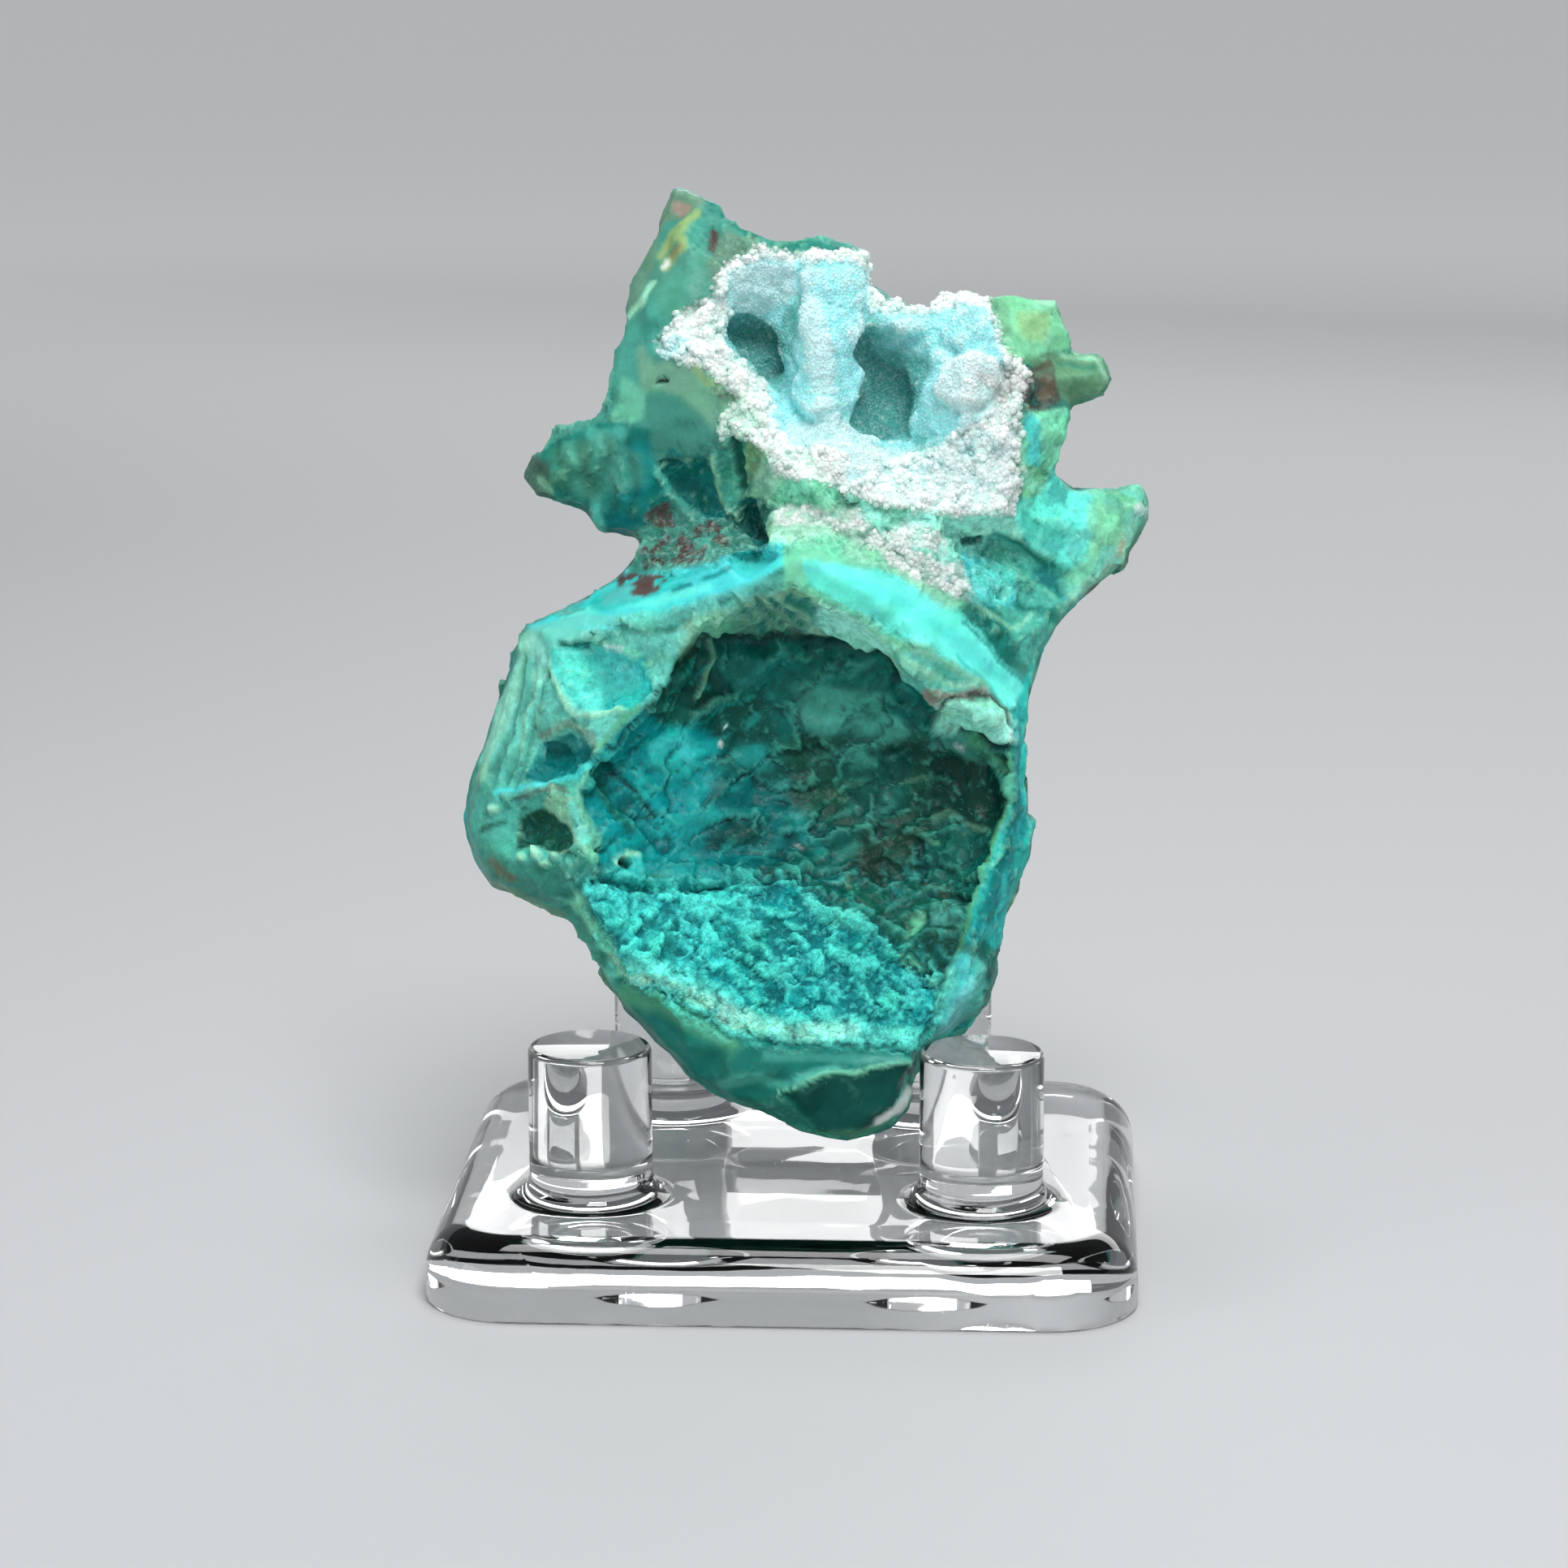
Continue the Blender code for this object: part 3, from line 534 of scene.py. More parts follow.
# Colour on the face is laid on stroke by stroke, from the ground colours to the last thin veins
# Foam, the brightest colour here, is laid mostly as painted light in shaded places
STONE_COLOURS = {
    "deep teal": (10, 98, 92), "midnight": (8, 56, 58), "teal": (6, 116, 120), "peacock": (4, 146, 150),
    "olive": (24, 76, 60), "brown olive": (26, 54, 40), "dark jade": (20, 106, 92), "petrol": (4, 50, 42),
    "turquoise": (108, 238, 224), "dull turquoise": (40, 184, 180), "sky": (74, 206, 210),
    "mint": (126, 218, 180), "leaf": (92, 176, 132), "spring green": (134, 212, 166),
    "sea green": (20, 118, 108), "waxy green": (66, 140, 126), "jade": (84, 182, 166),
    "celadon": (104, 198, 184), "pale green": (160, 222, 190), "lime": (152, 176, 108),
    "sage": (102, 136, 114), "pale sage": (128, 190, 156), "ice": (160, 240, 246), "slate": (92, 186, 182),
    "frost": (214, 238, 238), "white": (240, 248, 245), "maroon": (84, 58, 56), "rose": (176, 138, 132),
    "black": (8, 20, 20), "moss": (96, 146, 112), "lichen": (124, 172, 144), "pit": (56, 136, 132),
    "bark": (66, 92, 80), "foam": (168, 254, 234), "lagoon": (84, 230, 218), "brown": (112, 90, 70), "rust": (150, 126, 74),
}
paint = np.zeros((len(on_face), 3))


def linear(name):
    srgb = np.array(STONE_COLOURS[name]) / 255
    return np.where(srgb < 0.04045, srgb / 12.92, ((srgb + 0.055) / 1.055) ** 2.4)


def lay(name, amount):
    amount = np.clip(amount, 0, 1)[:, None]
    paint[:] = paint * (1 - amount) + linear(name) * amount


def patch(name, outline, soft=0.3, amount=1.0):
    lay(name, amount * cover(outline, 0, soft, True))


def streak(name, line, width, soft=0.25, amount=1.0):
    lay(name, amount * cover(line, width, soft, False))


# Ground: rough blue-green all round, greener and browner behind, with rusty seams of the old vein wall
lay("waxy green", np.ones(len(paint)))
lay("sea green", ramp(swell(on_face, 3.0, 60), -0.2, 0.6))
lay("dull turquoise", behind * ramp(swell(on_face, 5.0, 61) + 0.4 * swell(on_face, 1.5, 62), 0.0, 0.5))
lay("dark jade", behind * ramp(swell(on_face, 4.0, 63) + 0.5 * swell(on_face, 1.2, 64), 0.15, 0.6))
lay("sage", 0.7 * behind * ramp(swell(on_face, 6.0, 65) + 0.5 * swell(on_face, 1.8, 66), 0.25, 0.6))
lay("maroon", 0.8 * behind * ramp(swell(on_face, 4.5, 67) + 0.6 * swell(on_face, 1.0, 68), 0.62, 0.85))
lay("pale green", 0.6 * behind * ramp(swell(on_face, 2.0, 69) + 0.3 * small_swell, 0.45, 0.75))

# Body: the hollow's ground and its regions
broken = ramp(swell(on_face, 0.9, 73), -0.1, 0.4)
patch("deep teal", HOLLOW, 0.4)
patch("olive", [(-9.6, 5.4), (-7.8, 8.6), (-5.2, 9.6), (-4.6, 6), (-7.6, 4.4)], 0.8, 0.6)
patch("petrol", [(-6, 6.2), (-2, 6.4), (-1, 3.6), (-5, 3.4)], 1.0, 0.6)
patch("sea green", [(-5, 9.4), (6.4, 8.8), (7.2, 6.8), (2, 6.8), (-4, 6.6)], 0.8, 0.45)
patch("peacock", [(-10.4, 4.8), (-9, 4), (-6, 3.2), (-4.6, 2.2), (-5.6, -0.6), (-4.6, -2.6), (-3, -4.4),
                  (-2, -6.2), (-8, -6.4), (-12.6, -5.4), (-13.4, -1), (-13, 1.6)], 0.9)
patch("teal", [(-4.6, 0.6), (-0.6, -0.6), (1.4, -3.4), (-1, -6.2), (-5, -4.8)], 1.2, 0.7)
patch("olive", [(1, 3), (9, 3), (15.6, 2), (15, -3), (6, -3.4), (1, -1)], 1.0, 0.85)
patch("deep teal", [(4, 2.4), (9, 1.8), (8, -2), (4.5, -2)], 0.8, 0.7)
patch("petrol", [(11.0, 2.0), (15.8, 1.4), (15.6, -2.4), (13.8, -2.6), (11, -1.8)], 0.8, 1.0)
patch("dark jade", [(4.6, -6.4), (13, -6), (11.8, -10), (7, -10.4), (4.8, -9.4)], 0.7, 0.9)
patch("dull turquoise", [(-9.4, 3.0), (-7.4, 3.6), (-6.0, 2.6), (-6.2, 1.2), (-8, 0.9), (-9.2, 1.6)], 0.5, 0.95)
streak("sky", [(-9.0, 2.6), (-7.4, 2.9), (-6.6, 2.0)], 0.3, 0.5, 0.6)
patch("dull turquoise", [(-3.6, 2.2), (-1.8, 2.6), (-0.8, 1.2), (-2.4, 1.2)], 0.5, 0.45)
patch("dull turquoise", [(-6.8, -2.6), (-5.6, -2.2), (-5.8, -3.4), (-7, -3.8)], 0.5, 0.45)
patch("jade", [(1.2, 6.6), (4, 6.6), (6.6, 6.3), (6.6, 5), (8, 4.4), (8.6, 3.4), (7, 3), (5, 4.2),
               (2.6, 3.8), (1, 5)], 0.7, 0.66)
streak("jade", [(1.6, 5.2), (2.6, 4.6), (4.6, 4.9), (6.4, 4.2)], 0.2, 0.4, 0.7)
streak("jade", [(6.4, 5.2), (7.4, 4.6), (8.6, 3.6), (7.2, 3.1)], 0.12, 0.3, 0.7)
streak("jade", [(2.2, 6.6), (3.0, 5.8), (4.4, 6.4), (6.2, 6.2)], 0.1, 0.35, 0.6)
streak("teal", [(-13.1, 1.3), (-11.6, -0.7), (-10.0, -2.5), (-8.4, -4.3)], 0.42, 0.3, 0.85)
streak("midnight", [(-12.6, 1.6), (-10.7, -0.3), (-9.0, -2.2)], 0.08, 0.2, 0.9)
streak("dark jade", [(-13.1, 1.1), (-12.2, -1.2), (-10.9, -3.2)], 0.2, 0.3, 0.8)
streak("jade", [(-8.3, -2.0), (-7.4, -2.9), (-6.9, -3.7), (-7.0, -4.6)], 0.10, 0.35, 0.5 * broken)
patch("midnight", [(-5.2, -3.8), (-3.6, -3), (-2, -3.4), (-2.4, -4.2), (-4.6, -4.4)], 0.5, 0.7)
patch("peacock", [(-9, -5), (-5, -5.2), (-2.6, -5.4), (-2.8, -6.2), (-8, -6.2)], 0.4, 0.8)
streak("dull turquoise", [(-6.0, -1.6), (-4.2, -2.2), (-2.6, -2.0)], 0.12, 0.3, 0.3)
streak("dull turquoise", [(0.8, -2.4), (1.2, -3.6), (2.6, -4.8)], 0.25, 0.4, 0.4)
# Painted glints: three small white and frost dots on the glossy hollow
streak("white", [(0.9, -4.4), (1.2, -4.6)], 0.05, 0.2, 0.6)
streak("white", [(-4.5, 2.9), (-4.3, 2.7)], 0.05, 0.15, 0.9)
streak("frost", [(-4.1, 4.1), (-4.0, 3.9)], 0.04, 0.12, 0.9)
patch("dull turquoise", [(-12.6, -6.4), (-11.6, -5.4), (-10.6, -4.8), (-10.2, -5.6), (-9.8, -7), (-11.6, -7)], 0.3, 0.9)
streak("pale green", [(-11.8, -5.6), (-11.0, -5.0), (-10.4, -5.2)], 0.1, 0.25, 0.8)
streak("midnight", [(-11.3, -5.5), (-11.0, -5.8)], 0.12, 0.25)
streak("jade", [(-9.4, -6.9), (-8.4, -6.5)], 0.25, 0.3, 0.6)
streak("pale sage", [(8, 0), (10, 0.4), (12, -0.8), (11.8, -1.6)], 0.03, 0.20, 0.4 * broken)
streak("pale sage", [(4.2, -0.2), (7, 0)], 0.05, 0.25, 0.4 * broken)
streak("pale sage", [(1.8, -0.9), (3.6, -0.4), (4.6, -1.6)], 0.05, 0.25, 0.4 * broken)
streak("pale sage", [(10.8, -2.6), (12, -2.1), (13.6, -3), (14.4, -3.2)], 0.08, 0.25, 0.7)
patch("jade", [(11.2, -2.8), (12.6, -2.4), (13.2, -3.4), (12, -3.6)], 0.4, 0.6)
streak("slate", [(10.6, 2.6), (12.0, 3.9), (11.2, 4.4)], 0.12, 0.3, 0.8)
patch("jade", [(10.6, 3.4), (12.4, 3.9), (14.6, 2.6), (15.6, 0.8), (14, 1.6), (12.4, 2.2)], 0.3, 0.6)
streak("leaf", [(13.4, 3), (14.8, 2.0), (15.6, 1)], 0.18, 0.3, 0.7)
# Painted glint: a small frost dot
streak("frost", [(12.3, 2.7), (12.7, 2.6)], 0.12, 0.2, 0.9)
patch("sea green", [(10.4, -3.4), (13, -3.2), (13, -5), (11, -4.6)], 0.4, 0.6)
streak("mint", [(8.6, -3.1), (10, -3.5), (10.8, -4.1)], 0.08, 0.25, 0.8)
patch("brown olive", [(4.8, -6.0), (6.0, -3.6), (7.8, -3.0), (9.6, -3.6), (9.4, -6.0), (7, -6.4)], 1.0, 0.8)
streak("midnight", [(9.6, -4.2), (10, -6.6)], 0.25, 0.3, 0.8)
streak("pale sage", [(4.5, -6.4), (4.7, -8), (4.9, -9.4)], 0.04, 0.2, 0.6 * broken)
streak("black", [(10.8, -7.9), (12.8, -8)], 0.12, 0.25, 0.7)
patch("celadon", [(10.4, -9.8), (10.6, -8.8), (12, -8.4), (12.4, -9.2), (11.8, -9.9)], 0.3, 0.8)
patch("olive", [(10.4, -10.2), (12.2, -10.2), (11.6, -13), (10.4, -13.2), (9.4, -11.6)], 0.5, 0.8)
streak("sage", [(10.2, -6.8), (11, -7.2), (11.4, -7.8)], 0.12, 0.25, 0.7)
streak("brown olive", [(-1.6, -6.0), (1, -6.2)], 0.15, 0.3, 0.7)
streak("midnight", [(-13.2, -6.7), (-10.6, -7.3), (-7.6, -7.4), (-4, -6.8), (1, -6.5)], 0.08, 0.22, 0.9)
lay("petrol", 0.30 * in_hollow * cover([(-6.6, -3), (-3, 0.6), (1, 3), (15, 2), (15, -4), (12, -12), (6, -9), (-5, -5)], 0, 1.6, True))
lay("petrol", 0.35 * cover([(4.8, -5.6), (6, -2.4), (15, -0.6), (14.6, -4.4), (9, -6)], 0, 1.4, True))
smears = swell(slanted * np.array((0.5, 1.0, 1.5)), 0.9, 74) + 0.5 * swell(slanted, 0.5, 75)
lay("dull turquoise", 0.45 * in_hollow * ramp(smears, 0.25, 0.8) * ramp(-mark_x, -3.0, 5.0))
lay("jade", 0.26 * in_hollow * ramp(smears, 0.25, 0.8) * ramp(mark_x, -3.0, 5.0) * ramp(-mark_x, -12.0, -9.0))
lay("petrol", 0.35 * in_hollow * ramp(-smears, 0.2, 0.8))
patch("brown olive", [(5.0, -5.8), (6.2, -3.6), (8.6, -3.4), (9.2, -5.4), (7, -6.2)], 0.8, 0.6)

# The hood over the hollow and the bright bands of its ridge; its shaded underside is lightened with
# painted light and its lip carries a painted shadow line
patch("lichen", [(-7.2, 9.2), (-6.6, 11.2), (-3.4, 12.4), (1, 13.6), (3, 12.8), (7.4, 9.9), (9.4, 6.4), (7.6, 8.2),
               (6, 9.4), (3.6, 10.2), (0, 10.4), (-4.6, 10.4)], 0.3, 0.85)
patch("pale green", [(2.4, 12.8), (5.6, 11.3), (7.8, 9.6), (9.6, 7), (8.4, 7.8), (6.6, 9.2), (4.2, 10.3), (1.4, 10.6),
                     (1.8, 11.6)], 0.5, 0.9)
# Painted light: foam lightens the hood's shaded underside
patch("foam", [(2.8, 12.2), (5.6, 11.0), (7.4, 9.6), (6.2, 9.6), (4.2, 10.5), (2.2, 11.0)], 0.6, 0.85)
patch("celadon", [(-7.0, 10.0), (-5.8, 11.6), (-3.6, 11.9), (-3.8, 10.9), (-5.6, 10.4)], 0.5, 0.7)
for rib_x, rib_z in ((-3.3, 12.3), (-2.0, 12.4), (-0.9, 12.7), (0.5, 12.8), (1.6, 12.4)):
    streak("sea green", [(rib_x, rib_z), (rib_x + 1.2, rib_z - 0.7), (rib_x + 2.4, rib_z - 2.0)], 0.14, 0.3, 0.9)
    streak("pale green", [(rib_x + 0.5, rib_z), (rib_x + 2.7, rib_z - 1.7)], 0.06, 0.2, 0.6)
patch("pale sage", [(-7.2, 10.6), (-4.2, 12.2), (-3.6, 11), (-5, 10.2), (-6.8, 9)], 0.4, 0.7)
patch("sea green", [(-5.4, 10.8), (-3.6, 11.2), (-1.2, 10.9), (-1.6, 10.3), (-4.6, 10.2)], 0.3, 0.45)
# Painted light: this foam and the mint below lighten the shaded underside of the hood
streak("foam", [(3.0, 11.3), (4.4, 10.9), (5.4, 10.4)], 0.5, 0.4, 0.8)
streak("mint", [(-5.6, 11.2), (-4.4, 11.3)], 0.4, 0.4, 0.4)
streak("pale sage", [(-4.6, 11.2), (-5.0, 9.0), (-6.0, 6.2)], 0.05, 0.22, 0.7)
# Painted shadow: a black line under the hood's lip
streak("black", [(-7.8, 7.9), (-5.2, 9.8), (-3, 10.1), (1, 10.0), (4, 9.8), (6.2, 9.0), (8, 7.1)], 0.05, 0.3, 0.7)
patch("sky", [(-17.9, 11.2), (-14, 13), (-11, 15), (-8, 15.2), (-4, 15.6), (0.2, 17.2), (1, 15.8), (-2.5, 13.6),
              (-6.6, 12.2), (-11.5, 11.3), (-17, 10.4)], 0.35)
streak("celadon", [(-17.2, 10.9), (-13.5, 11.6), (-10.4, 11.5), (-6.8, 11.9), (-3, 13.1), (0, 14.0)], 0.25, 0.5, 0.8)
streak("turquoise", [(-15.6, 12.0), (-12.4, 12.6), (-8.6, 12.9), (-5.4, 13.6)], 0.10, 0.4, 0.6)
streak("dull turquoise", [(-16.4, 12.2), (-10, 13.7), (-6, 14.9), (-2, 15.9)], 0.05, 0.3, 0.8)
streak("dull turquoise", [(-12.4, 13.3), (-9.0, 13.4), (-7.0, 13.9)], 0.04, 0.25, 0.7)
streak("dull turquoise", [(-12.8, 13.0), (-10.4, 13.6), (-8.6, 14.6)], 0.5, 0.6, 0.9)
streak("slate", [(-12.2, 13.3), (-10.8, 13.6), (-9.6, 13.9)], 0.4, 0.5, 0.6)
streak("teal", [(-7.8, 13.4), (-6.4, 13.8)], 0.06, 0.2, 0.8)
streak("teal", [(-5.6, 14.2), (-3.6, 14.9)], 0.08, 0.2, 0.8)
streak("waxy green", [(-15.8, 12.0), (-14.0, 12.4)], 0.06, 0.2, 0.7)
patch("mint", [(0.2, 13.6), (0.4, 17.6), (5, 17.3), (9, 14.8), (12.4, 12.5), (12, 11.7), (8, 14.0), (3.5, 15.2),
               (1.6, 14.0)], 0.4, 0.9)
patch("turquoise", [(1.6, 15.2), (3.5, 15.3), (8, 14.3), (12, 12.2), (16.8, 7), (16.9, 5), (15.5, 5.6), (14.8, 6.6),
                    (13, 7.8), (10.5, 9.2), (8, 9.9), (5.5, 11.6), (2.8, 12.9), (1.8, 14)], 0.4)
streak("mint", [(1.2, 13.6), (2.6, 12.9), (5.4, 11.6), (7.8, 9.9), (10.4, 9.2)], 0.10, 0.35, 0.8)
streak("sky", [(5.0, 13.8), (8.6, 12.4), (12.6, 9.6), (15.4, 7.4)], 0.15, 0.7, 0.45)
streak("teal", [(12.4, 11.4), (14.6, 9.4), (16.8, 7.2)], 0.03, 0.15, 0.7)
streak("dull turquoise", [(12.2, 9), (14.6, 6.6)], 0.04, 0.2, 0.7)
patch("celadon", [(7.6, 9.6), (9, 9.4), (11, 8.4), (11.4, 6.6), (9.6, 6.4), (8.2, 8)], 0.3, 0.85)
patch("jade", [(10.8, 8.4), (12.4, 8), (14.3, 6.4), (12, 6.3), (10.6, 6.8)], 0.35, 0.85)
streak("pale sage", [(7.6, 9.9), (10.2, 8.9), (12.6, 7.9), (14.2, 6.7)], 0.1, 0.3, 0.6)
streak("pale green", [(8.6, 8.6), (10.6, 7.4), (13.2, 6.8)], 0.06, 0.35, 0.6)
patch("rose", [(9.4, 6.3), (14.2, 6.4), (12.6, 6.0), (11.0, 5.3)], 0.3, 0.6)
patch("mint", [(11, 5), (12.2, 5.7), (14.5, 5.7), (15.8, 4.9), (16.1, 3), (14, 3.2), (12, 3.9)], 0.25)
# Painted light: foam lightens this shaded panel under the hood's lip
streak("foam", [(11.4, 4.7), (13.4, 4.6), (15.2, 4.0)], 0.9, 0.4, 0.95)
streak("pale green", [(11.4, 4.9), (13, 5.1), (15, 4.4)], 0.25, 0.4, 0.6)
streak("turquoise", [(12.6, 4.8), (14.4, 4.6)], 0.6, 0.4, 0.25)
streak("maroon", [(11, 5.4), (12.5, 6.2), (14.6, 6.0), (15.6, 5.2), (16, 4.2)], 0.06, 0.18, 0.9)
# Painted shadow: the black line under the hood's lip goes on to the right
streak("black", [(12.4, 3.7), (14, 3.0), (16, 2.5)], 0.06, 0.18, 0.9)
streak("white", [(16.2, 3.8), (16.2, 2.9)], 0.1, 0.2, 0.9)

# The body's right edge, turning away, and the facet below it
patch("dull turquoise", [(16.9, 7), (18.8, 10.5), (17.6, 6), (17.4, 0), (17.4, -3.5), (17, -7), (15, -11.6),
                         (12.6, -11), (14, -6.5), (15.6, -3), (16.1, 1), (16.3, 4.5)], 0.3, 0.9)
streak("sky", [(16.8, 4), (16.8, -2), (16.2, -6), (15.2, -9)], 0.10, 0.25, 0.45)
streak("teal", [(16.4, 2.6), (16.4, -1.6), (15.8, -5.0), (14.4, -9.6)], 0.18, 0.35, 0.85)
streak("teal", [(15.9, -4.6), (15.2, -6.2), (14.2, -8.4), (13.0, -11.2)], 0.10, 0.3, 0.8)
streak("teal", [(17.2, -1.6), (16.4, -4.6), (15.9, -7.6)], 0.05, 0.3, 0.7)
streak("leaf", [(16.1, 2.5), (15.8, -1), (15.2, -3.4), (14, -6), (13, -9), (12.2, -12), (10.8, -15), (9.8, -18)],
       0.06, 0.2, 0.9)
patch("turquoise", [(12, -12), (14, -12.4), (14.2, -15), (13.2, -17.8), (10.2, -18.4), (9.8, -17.4), (10.8, -15)], 0.3, 0.62)
streak("sky", [(12.6, -12.6), (12.8, -14.6), (11.4, -17.2)], 0.4, 0.6, 0.7)
streak("ice", [(10.4, -17.8), (11.6, -17.2), (12.4, -15.4), (13.2, -14.0)], 0.15, 0.5, 0.4)
streak("deep teal", [(14.0, -11.4), (14.5, -13.2), (14.4, -15.0)], 0.22, 0.3, 0.8)

# The crackled apron, brightest at its left, and the lip below it
patch("peacock", APRON, 0.7)
patch("dull turquoise", [(-12.6, -7.8), (-4.0, -7.4), (-5.0, -12.6), (-8, -14), (-11.6, -12)], 1.5, 0.9)
patch("teal", [(-2, -9.6), (2, -9.8), (5, -12.4), (1, -13), (-3, -12)], 1.2, 0.60)
patch("teal", [(2.4, -14.2), (5.0, -12.6), (8.8, -13.4), (8.6, -15.6), (4.4, -15.8)], 1.0, 0.75)
patch("dull turquoise", [(-3, -12.6), (2, -12.8), (3.6, -15.4), (-1.4, -16.4), (-4, -14.6)], 1.2, 0.35)
patch("sky", [(-12, -8.2), (-6.4, -8), (-6.6, -12), (-10.6, -12)], 1.2, 0.3)
patch("turquoise", [(1.1, -6.9), (2.4, -8.2), (4, -8.9), (6.6, -10), (6, -10.4), (3, -9.6), (1.8, -8.6)], 0.2, 0.9)
streak("mint", [(8.4, -12.2), (9.8, -13.2), (10.6, -14.0)], 0.15, 0.4, 0.8)
streak("mint", [(8.6, -10.4), (9.6, -9.4)], 0.2, 0.3, 0.7)
lay("teal", 0.6 * low_right * ramp(crumple, 0.10, 0.50))
lay("jade", 0.4 * low_right * ramp(crumple, 0.40, 0.75))
lay("lagoon", 0.75 * in_apron * ramp(crumple, 0.0, 0.45))
lay("teal", 0.85 * in_apron * ramp(-crumple, 0.05, 0.45))
streak("turquoise", [(-11.8, -13.3), (-9.6, -13.2), (-7.4, -14), (-5, -15.4), (-3.4, -16.8), (-1, -17.4),
                     (1.6, -17.7), (4, -17.2), (6, -17.6), (9, -18.1)], 0.6, 0.8, 1.0)
streak("foam", [(-6.6, -14.5), (-4.6, -15.6), (-2.6, -16.7), (0.4, -17.3), (4.6, -17.1)], 0.35, 0.5, 0.8)
streak("pale green", [(-10.8, -13.4), (-8.6, -13.5), (-6.4, -14.6), (-4.4, -16.2), (-1.6, -17.4)], 0.10, 0.4, 0.6)
streak("mint", [(-14.6, -7.6), (-13.6, -9.6), (-12.4, -11.6), (-11.2, -13.8)], 0.25, 0.5, 0.8)
streak("pale green", [(-12.2, -12.2), (-11.2, -13.6), (-9.4, -13.6)], 0.12, 0.4, 0.6)
# Painted light: foam lightens the shaded part of the apron's rim
streak("foam", [(-4.8, -15.4), (-3.6, -16.0), (-2.6, -16.2)], 0.4, 0.4, 0.8)
streak("midnight", [(-8.4, -13.6), (-6.8, -14.6), (-5.2, -15.8), (-3.8, -16.6)], 0.04, 0.13, 0.7)
streak("waxy green", [(-15.9, -8.6), (-13.2, -12.6), (-11.5, -15.4)], 0.3, 0.4, 0.8)
patch("sea green", LOWER_BAND, 0.4)
lay("jade", 0.12 * in_band * ramp(swell(stirred * np.array((0.5, 1.0, 1.4)), 1.2, 71), 0.0, 0.7))
streak("leaf", [(-11.2, -14.8), (-8.6, -15.4), (-5.4, -17.0), (-3.6, -18.3)], 0.3, 0.9, 0.6)
streak("dark jade", [(-4.4, -19.6), (-1.6, -19.6), (1.4, -19.0)], 0.5, 0.9, 0.5)
streak("jade", [(-4.4, -21.0), (-2.6, -20.6), (0.4, -20.9), (3.6, -19.8)], 0.12, 0.5, 0.6)
streak("celadon", [(-1.0, -18.9), (3.0, -19.0), (8.0, -19.2)], 0.10, 0.4, 0.3)
patch("deep teal", FOOT_FACET, 0.2)
patch("petrol", FOOT_FACET, 0.2, 0.55)
patch("dark jade", [(-3, -22), (0, -21.8), (2.4, -24.2), (-0.6, -23.6)], 0.4, 0.7)
streak("leaf", [(2.4, -24.6), (5.4, -24.4), (7.4, -23.4)], 0.15, 0.4, 0.4)
streak("mint", [(-0.2, -21.5), (2.6, -20.3), (9, -19.4)], 0.04, 0.16, 0.6)
streak("jade", [(8.7, -20.4), (8.0, -22.4), (7.2, -23.4)], 0.06, 0.2, 0.8)
streak("white", [(6.4, -23.5), (7.8, -22.9), (8.8, -21.6)], 0.12, 0.35, 0.85)

# The left shoulder: streaky outer edge, bright scoop, blue pit and pitted nodule
patch("celadon", [(-17.9, 11), (-7, 10.4), (-8, 7.8), (-10.4, 5), (-13, 2.6), (-16, 1.6), (-20, 1.0), (-21.8, 1.6),
                  (-19.6, 8)], 0.4)
patch("jade", [(-21.6, 1.6), (-13.6, 0.4), (-14.6, -0.4), (-15, -7.8), (-18, -8.2), (-21.4, -6.6), (-22.6, -3)],
      0.6, 0.8)
streak("waxy green", [(-21.4, 0.4), (-21.8, -2.4), (-21.0, -5.6)], 0.7, 0.8, 0.6)
streak("pale green", [(-18.0, 10.4), (-20.4, 3.6), (-21.6, 0.6)], 0.2, 0.5, 0.5)
for streak_x, wave in ((-18.5, 0.3), (-17.5, -0.2), (-16.6, 0.2)):
    streak("waxy green", [(streak_x, 8.6), (streak_x - 0.7 + wave, 5.5), (streak_x - 1.1, 3.2), (streak_x - 2.0, 0.4)],
           0.08, 0.35, 0.75)
streak("sea green", [(-17.3, 8), (-17.8, 6.5)], 0.05, 0.25, 0.7)
streak("pale green", [(-17.6, 8.0), (-17.9, 6.0), (-18.8, 2.6)], 0.05, 0.3, 0.5)
streak("foam", [(-17.6, 9.8), (-17.0, 8.6), (-17.4, 7.6)], 0.3, 0.5, 0.6)
patch("dull turquoise", [(-16.2, 9.4), (-14.6, 9.8), (-12, 10.2), (-10, 9.4), (-9.2, 7), (-9.8, 6), (-11.4, 5),
                         (-13.6, 5.2), (-15.2, 6.2), (-16.2, 8)], 0.3)
patch("slate", [(-13.2, 9.2), (-10.6, 9.2), (-10.2, 6.8), (-12.6, 6.2)], 0.6, 0.4)
patch("turquoise", [(-16, 9.2), (-14, 9.2), (-13.2, 7), (-12.8, 5.4), (-14.6, 5.4), (-15.8, 7.2)], 0.5, 0.62)
streak("pale green", [(-16.4, 8.6), (-15.6, 6.4), (-14.4, 5.0), (-11.2, 5.0)], 0.08, 0.3, 0.75)
streak("dark jade", [(-15.8, 10), (-13.6, 9.8)], 0.10, 0.2, 0.8)
streak("mint", [(-12.8, 10.1), (-11.4, 9.9), (-10.2, 9.2)], 0.16, 0.4, 0.7)
streak("frost", [(-12.4, 9.9), (-11.4, 9.7)], 0.08, 0.3, 0.6)
streak("mint", [(-9.6, 8.4), (-8.6, 9.0)], 0.08, 0.3, 0.6)
streak("waxy green", [(-17.4, 3.4), (-16.4, 4.4), (-15.6, 5.4)], 0.15, 0.5, 0.5)
